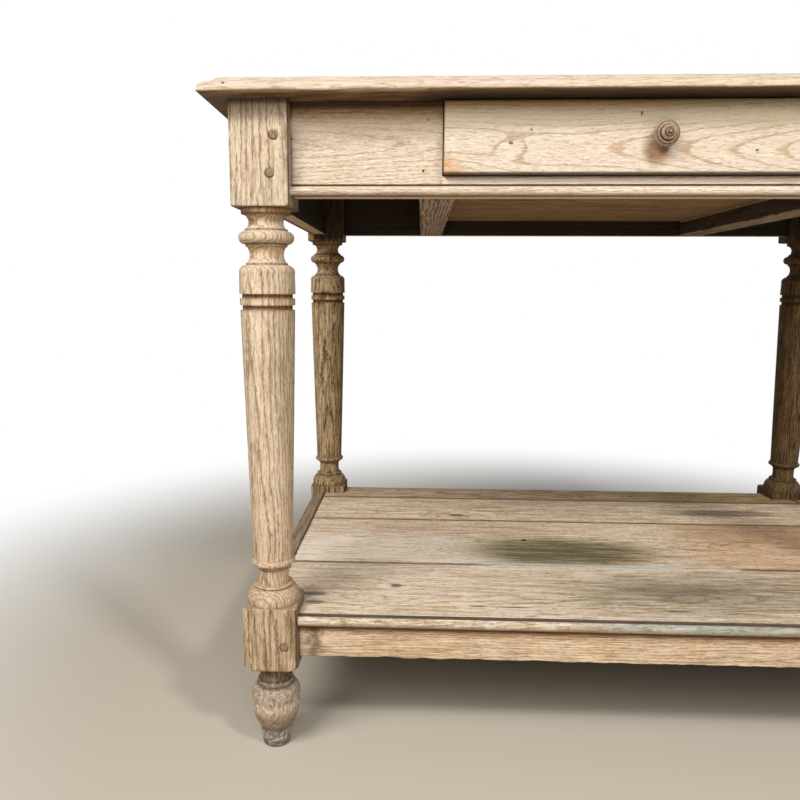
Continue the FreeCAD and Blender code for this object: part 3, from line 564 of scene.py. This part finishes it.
# The front board's own colours and places.
algae = (0.44, 0.47, 0.40, 1)
red_shade = (0.60, 0.52, 0.46, 1)
mauve_shade = (0.60, 0.52, 0.54, 1)
washed_grey = (0.62, 0.69, 0.66, 1)
scraped = (0.93, 0.92, 0.88, 1)
smudge_black = (0.12, 0.10, 0.09, 1)
knot_brown = (0.17, 0.11, 0.075, 1)
knot_black = (0.045, 0.028, 0.020, 1)
knot_rim = (0.90, 0.76, 0.60, 1)
nose_algae = (0.40, 0.41, 0.35, 1)
nose_shade = (0.88, 0.90, 0.91, 1)
nose_vein = (0.50, 0.39, 0.28, 1)
nose_dirt_and_shade = (0.30, 0.20, 0.115, 1)
smudges = (((-434, -250, shelf_top), (24, 8, 9)), ((-428, -277, shelf_top), (20, 6, 9)),
           ((-205, -280, shelf_top), (16, 3.4, 9)), ((-158, -281, shelf_top), (30, 3.0, 9)),
           ((60, -283, shelf_top), (26, 3.0, 9)))
front_knot = (-317.6, -216.7, shelf_top)
# The middle board's.
stain_rim = (0.46, 0.45, 0.32, 1)
stain_black = (0.095, 0.075, 0.034, 1)
scrubbed_pale = (0.99, 0.87, 0.71, 1)
right_grey = (0.70, 0.62, 0.55, 1)
red_streak = (0.84, 0.58, 0.44, 1)
right_red = (0.84, 0.67, 0.53, 1)
washed_green = (0.60, 0.68, 0.65, 1)
whorl_brown = (0.42, 0.28, 0.18, 1)
hole_black = (0.01, 0.008, 0.006, 1)
whorl_place = (-263, -54.7, shelf_top)
# The rear board's and the strip's.
rear_grey = (0.34, 0.32, 0.34, 1)
rear_knot = (0.075, 0.045, 0.03, 1)
strip_olive = (0.62, 0.60, 0.38, 1)


def seam_grime(place, colour, line, washed=0.0):
    """Dirt along the seam between two boards, which runs at the line in Y. Its middle length
    has been washed out by the share given."""
    x, y, z = place
    wave = (rough_noise(x / 26, x / 26, z / 30, 3.0) - 0.5) * 5.0
    left = 1 - rise(x, -210, -150) * (1 - rise(x, 205, 225)) * washed
    colour = dyed(colour, seam_brown, beside(y + wave, line, 10.0) * left * 0.50)
    return dyed(colour, grime_and_shade, beside(y + wave, line, 5.2) * left * 0.95)


def weathering(place, colour, seed, share=0.80):
    """Broad streaks along a shelf board: brown, grey and bleached, as the damp dried in it.
    Dirt has gathered at its ends, beside the stretchers, and painted shade blackens it underneath."""
    x, y, z = place
    end = abs(x)
    end_dirt = (rise(end, shelf_end - 3, shelf_end - 0.2)
                * (1 - rise(end, shelf_end + 1, shelf_end + 2)))
    colour = dyed(colour, grime_and_shade, end_dirt * 0.85)
    # Painted shade makes the underside near black.
    underneath = 1 - rise(z, shelf_bottom + 0.2, shelf_bottom + 1.0)
    colour = dyed(colour, painted_shade_black, underneath * 0.94)
    brown = rough_noise(x / 110 + seed, y / 9, z / 40, 4.0, 0.7)
    bleached = rough_noise(x / 60 + seed, y / 7 + 9, z / 40, 3.0, 0.7)
    speckle = rough_noise(x / 16 + seed, y / 3.4, z / 40, 2.0, 0.6)
    colour = stained(colour, damp_brown, rise(brown, 0.50, 0.66) * share)
    colour = dyed(colour, bleached_pale, rise(bleached, 0.52, 0.68) * 0.60)
    return stained(colour, speckle_brown, rise(speckle, 0.57, 0.66) * 0.65)


def front_board_marks(place, colour):
    """Green with damp along the front right, washed pale at the seam, with smudges and a knot
    near the left end; brown veins on the nose, and dirt with painted shade on its lower half,
    in the quirk and under its lip."""
    x, y, z = place
    colour = weathering(place, colour, 0.0)
    streak = rough_noise(x / 90, y / 7, z / 40, 3.0, 0.65)
    green = round_spot(place, (110, -226, shelf_top), (250, 84, 400))
    colour = stained(colour, algae, rise(green + (streak - 0.5) * 1.3, 0.16, 0.95) * 0.88)
    colour = stained(colour, red_shade, rise(x, 120, 260) * rise(y, -240, -190)
                     * rise(streak, 0.34, 0.60) * 0.70)
    mauve = round_spot(place, (95, -220, shelf_top), (85, 18, 60))
    colour = stained(colour, mauve_shade, mauve * 0.9)
    washed = (beside(y, front_seam - 4.5, 5.5) * rise(x + streak * 60, -210, -150)
              * (1 - rise(x, 205, 215)))
    colour = dyed(colour, washed_grey, washed * rise(streak, 0.30, 0.45) * 0.85)
    colour = dyed(colour, scraped, beside(y, front_seam - 3.0, 3.2) * rise(x, 140, 155)
                  * (1 - rise(x, 205, 212)) * 0.9)
    for smudge, size in smudges:
        blot = rise(round_spot(place, smudge, size) + (streak - 0.5) * 0.9, 0.30, 0.85)
        colour = dyed(colour, smudge_black, blot * 0.85)
    off_x, off_y = (x - front_knot[0]) / 11.5, (y - front_knot[1]) / 8.5
    knot = (off_x * off_x + off_y * off_y) ** 0.5 + (streak - 0.5) * 0.9
    colour = dyed(colour, knot_brown, (1 - rise(knot, 0.55, 0.95)) * 0.80)
    cracks = rise(rough_noise(x / 3, y / 2.2, z / 40), 0.48, 0.58)
    colour = dyed(colour, knot_black, cracks * (1 - rise(knot, 0.3, 0.8)) * 0.9)
    colour = dyed(colour, knot_rim, beside(knot, 1.7, 0.4) * 0.45)

    nose = 1 - rise(y, nose_line - 1.5, nose_line)
    greener = rise(x + (streak - 0.5) * 260, -160, 60)
    colour = dyed(colour, nose_algae, nose * greener * rise(z, shelf_bottom + 1, shelf_bottom + 8)
                  * (0.60 + 0.38 * rise(streak, 0.44, 0.58)))
    colour = stained(colour, nose_shade, nose * 0.95)
    veins = rough_noise(x / 14, y / 4, z / 2.2, 3.0, 0.65)
    colour = stained(colour, nose_vein, nose * rise(veins, 0.50, 0.60) * 0.52)
    # Dirt with painted shade on the nose's lower half, in the quirk and under its lip.
    low = 1 - rise(z + (streak - 0.5) * 9, shelf_bottom + 1, shelf_bottom + 10)
    colour = dyed(colour, nose_dirt_and_shade, nose * low * 0.82)
    quirk = rise(beside(y, quirk_line, 6.0), 0.0, 0.45)
    colour = dyed(colour, grime_and_shade, quirk * rise(z, shelf_bottom + 8, shelf_bottom + 11) * 0.92)
    lip = 1 - rise(z, shelf_bottom + 0.5, shelf_bottom + 3.5)
    colour = dyed(colour, grime_and_shade, nose * lip * 0.88)
    return seam_grime(place, colour, front_seam, 0.7)


def middle_board_marks(place, colour):
    """A dark green-brown stain with a small hole in it, a whorl in the grain left of it, and
    scrubbed pale at the left."""
    x, y, z = place
    colour = weathering(place, colour, 3.0, 0.60)
    streak = rough_noise(x / 90, y / 5.0, z / 40, 3.0, 0.7)
    stain = round_spot(place, (-58, -66, shelf_top), (160, 66, 400))
    inner = rise(stain + (streak - 0.5) * 1.4, 0.34, 0.70)
    colour = stained(colour, stain_rim, rise(stain + (streak - 0.5), 0.12, 0.5) * 0.8)
    veins = rough_noise(x / 170, y / 3.4, z / 40, 3.0, 0.7)
    colour = dyed(colour, stain_black, inner * (0.96 - 0.62 * rise(veins, 0.48, 0.62)))
    scrubbed = (1 - rise(x, -260, -120)) * (1 - rise(y, -40, 20)) * rise(streak, 0.34, 0.56)
    colour = dyed(colour, scrubbed_pale, scrubbed * 0.62)
    colour = stained(colour, right_grey, rise(x, 120, 260) * rise(y, -50, 10) * 0.55)
    red = round_spot(place, (-220, 46, shelf_top), (190, 20, 60))
    colour = stained(colour, red_streak, red * rise(streak, 0.35, 0.6) * 0.8)
    colour = stained(colour, right_red, rise(x, 90, 230) * 0.75)
    washed = (beside(y, front_seam + 4.5, 6.5) * rise(x + streak * 60, -210, -150)
              * (1 - rise(x, 100, 140)))
    colour = dyed(colour, washed_green, washed * rise(streak, 0.30, 0.5) * 0.7)
    whorl_x, whorl_y = (x - whorl_place[0]) / 30, (y - whorl_place[1]) / 21
    whorl = (whorl_x * whorl_x + whorl_y * whorl_y) ** 0.5 + (streak - 0.5) * 1.5
    turns = whorl.sum("FRACT", whorl * 2.4)
    whorl_lines = beside(turns, 0.5, 0.32) * (1 - rise(whorl, 0.8, 2.2))
    colour = dyed(colour, whorl_brown, whorl_lines * 0.50)
    hole = round_spot(place, (-104.9, -13.5, shelf_top), (4.4, 5.5, 12))
    colour = dyed(colour, hole_black, rise(hole, 0.30, 0.5))
    colour = seam_grime(place, colour, front_seam, 0.7)
    return seam_grime(place, colour, rear_seam)


def rear_board_marks(place, colour):
    """Grey towards the right, with a long narrow knot."""
    x, y, z = place
    colour = weathering(place, colour, 6.0)
    streak = rough_noise(x / 80, y / 9, z / 40, 3.0, 0.65)
    grey = round_spot(place, (300, 158, shelf_top), (130, 24, 90))
    colour = stained(colour, rear_grey, rise(grey + (streak - 0.5), 0.3, 0.8) * 0.8)
    knot = round_spot(place, (-214, 121.5, shelf_top), (17, 6.0, 12))
    colour = dyed(colour, rear_knot, rise(knot + (streak - 0.5) * 0.7, 0.3, 0.7))
    colour = seam_grime(place, colour, rear_seam)
    return seam_grime(place, colour, strip_seam)


def strip_marks(place, colour):
    """Darker and olive towards the right."""
    x, y, z = place
    colour = weathering(place, colour, 8.0)
    streak = rough_noise(x / 60, y / 12, z / 40, 3.0, 0.65)
    colour = stained(colour, strip_olive, rise(x + (streak - 0.5) * 300, 40, 280) * 0.85)
    return seam_grime(place, colour, strip_seam)


dress(oak("shelf_oak_front", "X", (-245, 262), lean=(0.02, 0.05), ring=4.0, seed=59.0,
          light=(0.93, 0.77, 0.59), mid=(0.63, 0.475, 0.325), wide=2.4, cloud=0.45, fleck=0.2,
          pore=0.4, eyes=((front_knot, 22, 13),), marks=front_board_marks),
      "shelf_board_front")
dress(oak("shelf_oak_middle", "X", (-30, 140), lean=(0.02, 0.05), ring=4.2, seed=61.0,
          light=(0.97, 0.81, 0.61), mid=(0.66, 0.49, 0.325), wide=2.4, cloud=0.4, fleck=0.2,
          pore=0.55, coarse=1.3, eyes=((whorl_place, 34, 17), ((170, -20, shelf_top), 30, 10)),
          marks=middle_board_marks), "shelf_board_middle")
dress(oak("shelf_oak_rear", "X", (150, 100), lean=(0.05, 0.0), ring=4.2, seed=67.0,
          light=(0.99, 0.81, 0.58), mid=(0.68, 0.495, 0.31), wide=3.0, cloud=0.5, fleck=0.2,
          pore=0.5, coarse=1.3, eyes=(((-214, 121.5, shelf_top), 24, 10),),
          marks=rear_board_marks), "shelf_board_rear")
dress(oak("shelf_oak_strip", "X", (270, 110), lean=(0.0, 0.03), ring=3.4, seed=71.0,
          light=(0.76, 0.57, 0.36), mid=(0.38, 0.26, 0.145), wide=3.4, cloud=0.8, pore=0.4,
          marks=strip_marks), "shelf_board_back_strip")


# What carries the shelf: oak ledges along the side stretchers, a bearer across the middle, and
# steel screws driven up through them.

inner_oak = oak("inner_oak", "Y", (-500, 60), ring=3.6, seed=73.0, light=(0.30, 0.19, 0.11),
                mid=(0.21, 0.13, 0.07))
dress(inner_oak, "shelf_ledge_left", "shelf_ledge_right", "shelf_bearer")

bright_steel = (0.40, 0.385, 0.365, 1)
dull_steel = (0.27, 0.255, 0.24, 1)
rust = (0.13, 0.060, 0.028, 1)
screw = bpy.data.materials.new("screw_steel")
screw.use_nodes = True
screw.node_tree.nodes.clear()
spot = Value(screw.node_tree.nodes.new("ShaderNodeTexCoord").outputs["Object"])
rusty = rise(spot.node("TexNoise", {"Vector": spot, "Scale": 420.0, "Detail": 4.0,
                                    "Roughness": 0.65}), 0.42, 0.60)
brushed = spot.node("TexNoise", {"Vector": spot, "Scale": 1600.0, "Detail": 2.0})
steel = dyed(dyed(bright_steel, dull_steel, brushed), rust, rusty)
spot.node("OutputMaterial", {"Surface": spot.node("BsdfPrincipled", {
    "Base Color": steel, "Metallic": 1 - rusty * 0.9, "Roughness": 0.42 + rusty * 0.4})})
dress(screw, "shelf_screws")


# The top: four oak boards tongued and grooved together, their outer edges moulded all round,
# held down by glue blocks. The lower edge of the moulding is rubbed wavy along the front.

top_bottom, top_height = [corner[2] for corner in corners("top_board_front")]
top_seams = [corners(board)[0][1] - 0.2 for board in (
    "top_board_mid_front", "top_board_mid_back", "top_board_back")]
edge_nail = (-512, -354, 848.3)
# Where the wear is, and how deep and how long its waves are, in metres.
rubbed_before, rubbed_below, rubbed_end, rubbed_fade = -0.3495, 0.8455, 0.530, 0.020
rubbed_cut = ((0, -0.349, 0), (0, 1, 0))
rub_depth, rub_length, top_cuts = 0.0050, 0.045, 110

edge_pale = (0.67, 0.54, 0.42, 1)
edge_fleck = (0.56, 0.41, 0.28, 1)
edge_dirt_and_shade = (0.31, 0.165, 0.070, 1)
edge_shade_black = (0.050, 0.027, 0.012, 1)
underside_shade_grey = (0.115, 0.098, 0.086, 1)
underside_shade_brown = (0.088, 0.051, 0.027, 1)
under_top_shade_black = (0.016, 0.008, 0.004, 1)
top_seam_brown = (0.30, 0.20, 0.12, 1)


def top_marks(place, colour):
    """Pale on the moulded edge, with brown dirt and painted shade on its lower round. Underneath
    it is bare, painted dark as shade: grey at the left, brown further on, and black towards the
    apron."""
    x, y, z = place
    patchy = rough_noise(x / 30, y / 30, z / 4, 3.0, 0.65)
    right = rise(x, -330, -240)
    edge = z - right * 1.2
    upper = (rise(edge, top_bottom + 1.2, top_bottom + 3.4)
             * (1 - rise(z, top_height - 3.0, top_height)))
    colour = dyed(colour, edge_pale, upper * 0.80)
    flecks = rough_noise(x / 16, y / 16, z / 1.6, 3.0, 0.65)
    colour = stained(colour, edge_fleck, rise(flecks, 0.50, 0.62) * upper * 0.60)
    # Dirt and painted shade on the lower round; painted shade underneath, blackest at the front.
    lower = 1 - rise(edge + (patchy - 0.5) * 2.4, top_bottom + 0.8, top_bottom + 2.8)
    colour = dyed(colour, edge_dirt_and_shade, lower * 0.84)
    lowest = 1 - rise(edge, top_bottom - 0.4, top_bottom + 1.8)
    colour = dyed(colour, edge_shade_black, lowest * right * 0.7)
    colour = grime_and_shade_lines(colour, z, ((top_bottom + 13.2, 1.0, 0.30),))
    mottled = rough_noise(x / 50, y / 14, z / 14, 3.0, 0.65)
    bare = dyed(underside_shade_grey, underside_shade_brown, rise(x, -520, -470))
    underneath = 1 - rise(z, top_bottom + 0.2, top_bottom + 1.2)
    colour = dyed(colour, bare, underneath * (0.62 + 0.35 * rise(mottled, 0.4, 0.6)))
    colour = dyed(colour, under_top_shade_black, lowest * right * rise(y, -362, -334) * 0.85)
    colour = dyed(colour, grime_and_shade, rise(round_spot(place, edge_nail, (2.0, 12, 1.6)), 0.3, 0.6))
    wave = (rough_noise(x / 40, y / 40, z / 40, 2.0) - 0.5) * 1.6
    for line in top_seams:
        colour = dyed(colour, top_seam_brown, beside(y + wave, line, 5.0) * 0.35)
        colour = dyed(colour, grime_and_shade, beside(y + wave, line, 1.6) * 0.8)
    return colour


dress(oak("top_oak_front", "X", (-300, 1000), lean=(0.03, 0.03), ring=3.2, seed=79.0,
          light=(0.77, 0.63, 0.47), mid=(0.46, 0.335, 0.22), wide=1.4, marks=top_marks),
      "top_board_front")
dress(oak("top_oak_mid_front", "X", (-60, 960), lean=(0.04, 0.03), ring=4.0, seed=83.0,
          light=(0.72, 0.575, 0.42), mid=(0.41, 0.29, 0.185), wide=1.4, marks=top_marks),
      "top_board_mid_front")
dress(oak("top_oak_mid_back", "X", (90, 930), lean=(0.02, 0.05), ring=4.2, seed=89.0,
          light=(0.77, 0.63, 0.47), mid=(0.46, 0.335, 0.22), wide=1.4, marks=top_marks),
      "top_board_mid_back")
dress(oak("top_oak_back", "X", (300, 980), lean=(0.0, 0.04), ring=3.6, seed=97.0,
          light=(0.73, 0.59, 0.44), mid=(0.43, 0.31, 0.20), wide=1.4, marks=top_marks),
      "top_board_back")
dress(inner_oak, "top_glue_blocks")


def top_wear(x, y, z):
    """The lower edge of the moulding is rubbed, all along the front."""
    on_edge = y < rubbed_before and z < rubbed_below and abs(x) < rubbed_end
    return on_edge * min(1.0, (rubbed_end - abs(x)) / rubbed_fade)


worn_copy("top_board_front_worn", "top_board_front", top_wear, top_cuts, rub_depth,
                  rub_length, seams=(rubbed_cut,))


# What carries the drawer: two oak runners between the aprons, with guides glued on them and
# stops behind. They were planed once and never finished.

runner_bottom = corners("runner_left")[0][2]
runner_side_shade = (0.035, 0.021, 0.012, 1)


def runner_marks(place, colour):
    """Bare and grey underneath; painted shade makes it nearly black up its sides."""
    up_sides = rise(place[2], runner_bottom + 0.8, runner_bottom + 2.6)
    return dyed(colour, runner_side_shade, up_sides * 0.93)


dress(oak("runner_oak", "Y", (-300, 690), ring=3.4, seed=101.0, light=(0.58, 0.435, 0.31),
          mid=(0.16, 0.105, 0.068), dark=(0.06, 0.04, 0.028), lines=1.3, wide=1.8, pore=0.8,
          marks=runner_marks), "runner_left", "runner_right")
dress(inner_oak, "runner_guide_left", "runner_guide_right", "drawer_stops")


# The drawer: a flat-sawn oak front, dovetailed sides, a plain back and a bottom of three boards
# in grooves. Its front was scrubbed with the legs; the rest was left as it was planed.

drawer_left, _, drawer_bottom = drawer_near
drawer_top = drawer_far[2]
patch_x, patch_z = -262, 755
handled_and_shadow_place = (-14, -324, 779)
arch_tips = ((-60.0, 783.6), (12.0, 782.0), (65.0, 778.7), (122.8, 779.8))
pin_knots = (((-183.2, -324, 788.4), (3.6, 9, 2.4)), ((-34.3, -324, 821), (1.6, 9, 3.2)),
             ((99, -324, 779.8), (2.4, 9, 1.6)), ((-160.0, -324, 803.5), (2.2, 9, 1.4)))

painted_shade_orange = (0.66, 0.44, 0.21, 1)
painted_light_drawer_band = (0.99, 0.82, 0.57, 1)
corner_orange = (0.60, 0.30, 0.11, 1)
arch_brown = (0.60, 0.38, 0.19, 1)
handled_dirt_and_shadow = (0.40, 0.25, 0.12, 1)


def drawer_front_marks(place, colour):
    """Painted shade under the top, less at the right, with a band of painted light below it; an
    orange patch in the lower left corner, a few pin knots, brown tips on the arches of the
    grain, a handled patch by the knob that is also its painted shadow, and painted shade along
    the lower and left edges."""
    x, y, z = place
    patchy = rough_noise(x / 40, y / 40, z / 6, 3.0, 0.65)
    right = rise(x, -60, 120)
    # Painted shade under the top, lifted by a band of painted light.
    band = rise(z + (patchy - 0.5) * 12, drawer_top - 20, drawer_top + 1)
    colour = stained(colour, painted_shade_orange, band * (0.88 - 0.42 * right))
    colour = dyed(colour, painted_light_drawer_band, beside(z, drawer_top - 18, 17) * (0.58 + 0.30 * right))
    colour = dyed(colour, grime_and_shade, rise(z, drawer_top - 4, drawer_top - 0.5) * (0.80 - 0.30 * right))
    speck = rough_noise(x / 4, y / 4, z / 1.6, 2.0, 0.6)
    corner = (x - patch_x) / 40 + (z - patch_z) / 36
    patch = 1 - rise(corner + (speck - 0.5) * 0.7, 0.6, 0.95)
    colour = dyed(colour, corner_orange, patch * (0.42 + 0.5 * rise(speck, 0.5, 0.62)))
    for tip_x, tip_z in arch_tips:
        tip = round_spot(place, (tip_x + 4, -324, tip_z), (11, 60, 7))
        colour = dyed(colour, arch_brown, rise(tip + (speck - 0.5) * 0.7, 0.45, 0.9) * 0.35)
    for knot, size in pin_knots:
        colour = dyed(colour, grime_and_shade, rise(round_spot(place, knot, size), 0.35, 0.75) * 0.8)
    # Hand dirt and the knob's painted shadow, below and left of it.
    handled = round_spot(place, handled_and_shadow_place, (16, 60, 17))
    colour = stained(colour, handled_dirt_and_shadow, rise(handled, 0.10, 0.8) * 0.80)
    # Painted shade along the lower and left edges.
    colour = dyed(colour, grime_and_shade, (1 - rise(z, drawer_bottom + 1.2, drawer_bottom + 3.2)) * 0.80)
    return dyed(colour, grime_and_shade, (1 - rise(x, drawer_left + 0.3, drawer_left + 1.8)) * 0.5)


dress(oak("drawer_front_oak", "X", (-263.4, 780), lean=(-0.057, 0.0), ring=3.0, sway=1.6,
          seed=103.0, light=(0.775, 0.66, 0.54), mid=(0.61, 0.465, 0.325),
          dark=(0.24, 0.135, 0.065), early=0.23, lines=1.45, ragged=0.40, fleck=0.0, pore=0.42,
          cloud=0.15, dry=0.4, coarse=0.55,
          eyes=(((-300, -324, 790), 70, -16), ((-262, -324, 758), 30, 8),
                ((-183, -324, 784), 13, 4)), marks=drawer_front_marks), "drawer_front")
dress(oak("drawer_box_oak", "Y", (-300, 700), ring=3.4, seed=107.0, light=(0.42, 0.29, 0.17),
          mid=(0.33, 0.22, 0.12)), "drawer_side_left", "drawer_side_right", "drawer_back")
dress(oak("drawer_bottom_oak", "X", (-60, 600), ring=4.4, seed=109.0, light=(0.44, 0.27, 0.14),
          mid=(0.17, 0.098, 0.046), dark=(0.10, 0.06, 0.03), wide=2.4), "drawer_bottom_front",
      "drawer_bottom_middle", "drawer_bottom_rear")


# The knob, turned with the grain along its length, in a browner piece of oak. Its spigot is
# glued into the drawer's front.

knob_near, knob_far = corners("drawer_knob")
knob_x, knob_z = (knob_near[0] + knob_far[0]) / 2, (knob_near[2] + knob_far[2]) / 2
knob_rings = (2.0, 3.6, 5.2, 9.1, 12.4)


def knob_marks(place, colour):
    """Grime in the turned rings of the face."""
    off_x, off_z = place[0] - knob_x, place[2] - knob_z
    reach = (off_x * off_x + off_z * off_z) ** 0.5
    return grime_and_shade_lines(colour, reach, [(ring, 1.0, 0.95) for ring in knob_rings])


dress(oak("knob_oak", "Y", (-12, 811), ring=2.4, sway=2.0, seed=113.0, light=(0.58, 0.425, 0.30),
          mid=(0.31, 0.205, 0.13), dark=(0.07, 0.045, 0.03), marks=knob_marks), "drawer_knob")


# Where the table stands: a plain pale floor, running out to white, with soft light from the
# front.

floor_size, floor_colour = 14.0, (0.60, 0.535, 0.43, 1)
white_from, white_to = 0.75, 1.7

bpy.ops.object.select_all(action="DESELECT")
bpy.ops.mesh.primitive_plane_add(size=floor_size, location=(0, 0, 0))
floor = bpy.context.object
floor.name = "floor"
floor_paint = bpy.data.materials.new("floor_paint")
floor_paint.use_nodes = True
floor_tree = floor_paint.node_tree
floor_tree.nodes.clear()
spot = Value(floor_tree.nodes.new("ShaderNodeTexCoord").outputs["Object"])
far = spot.node("VectorMath", {0: spot}, {"operation": "LENGTH"}, output=1)
seen = Value(floor_tree.nodes.new("ShaderNodeLightPath").outputs["Is Camera Ray"])
matt = spot.node("BsdfPrincipled", {"Base Color": floor_colour, "Roughness": 0.9,
                                    "Specular IOR Level": 0.1})
white = spot.node("Emission", {"Color": (1, 1, 1, 1), "Strength": 1.0})
both = spot.node("MixShader", {0: rise(far, white_from, white_to) * seen, 1: matt, 2: white})
spot.node("OutputMaterial", {"Surface": both})
floor.data.materials.append(floor_paint)

world = bpy.data.worlds.new("studio")
bpy.context.scene.world = world
world.use_nodes = True
air = world.node_tree
air.nodes.clear()
path = air.nodes.new("ShaderNodeLightPath")
looked = Value(path.outputs["Is Camera Ray"])
looked = looked.sum("MAXIMUM", looked, Value(path.outputs["Is Glossy Ray"]))
sky = looked.node("Background", {"Color": (1, 1, 1, 1), "Strength": looked * 0.94 + 0.06})
looked.node("OutputWorld", {"Surface": sky})


def lamp(name, place, aim, width, height, power):
    """A soft rectangular lamp at a place, aimed at a point."""
    light = bpy.data.lights.new(name, "AREA")
    light.shape = "RECTANGLE"
    light.size, light.size_y, light.energy = width, height, power
    held = bpy.data.objects.new(name, light)
    bpy.context.scene.collection.objects.link(held)
    ray = Vector(aim) - Vector(place)
    held.matrix_world = (Matrix.Translation(place)
                         @ ray.to_track_quat("-Z", "Y").to_matrix().to_4x4())


lamp("high_left", (-1.7, -2.1, 2.5), (0.0, 0.0, 0.5), 1.5, 1.1, 80)
lamp("front", (0.2, -3.2, 1.95), (0.0, 0.0, 0.5), 2.4, 1.1, 32)
lamp("high_right", (1.2, -2.0, 2.4), (0.0, 0.0, 0.6), 0.35, 0.35, 34)

# The camera stands left of the middle, a little above the shelf, and looks slightly down.
eye = (-0.2863, -1.2036, 0.6174)
turn, tip, roll = radians(2.29), radians(8.98), radians(0.28)
ahead = Vector((-sin(turn) * cos(tip), cos(turn) * cos(tip), -sin(tip)))
side = Vector((cos(turn), sin(turn), 0.0))
upward = side.cross(ahead)
side, upward = side * cos(roll) + upward * sin(roll), upward * cos(roll) - side * sin(roll)
lens = bpy.data.cameras.new("camera")
lens.sensor_width, lens.lens = 36.0, 32.286
lens.shift_x, lens.shift_y = 0.0109, 0.0053
camera = bpy.data.objects.new("camera", lens)
bpy.context.scene.collection.objects.link(camera)
camera.matrix_world = Matrix.Translation(eye) @ Matrix((side, upward, -ahead)).transposed().to_4x4()
bpy.context.scene.camera = camera
bpy.context.scene.view_settings.view_transform = "Standard"
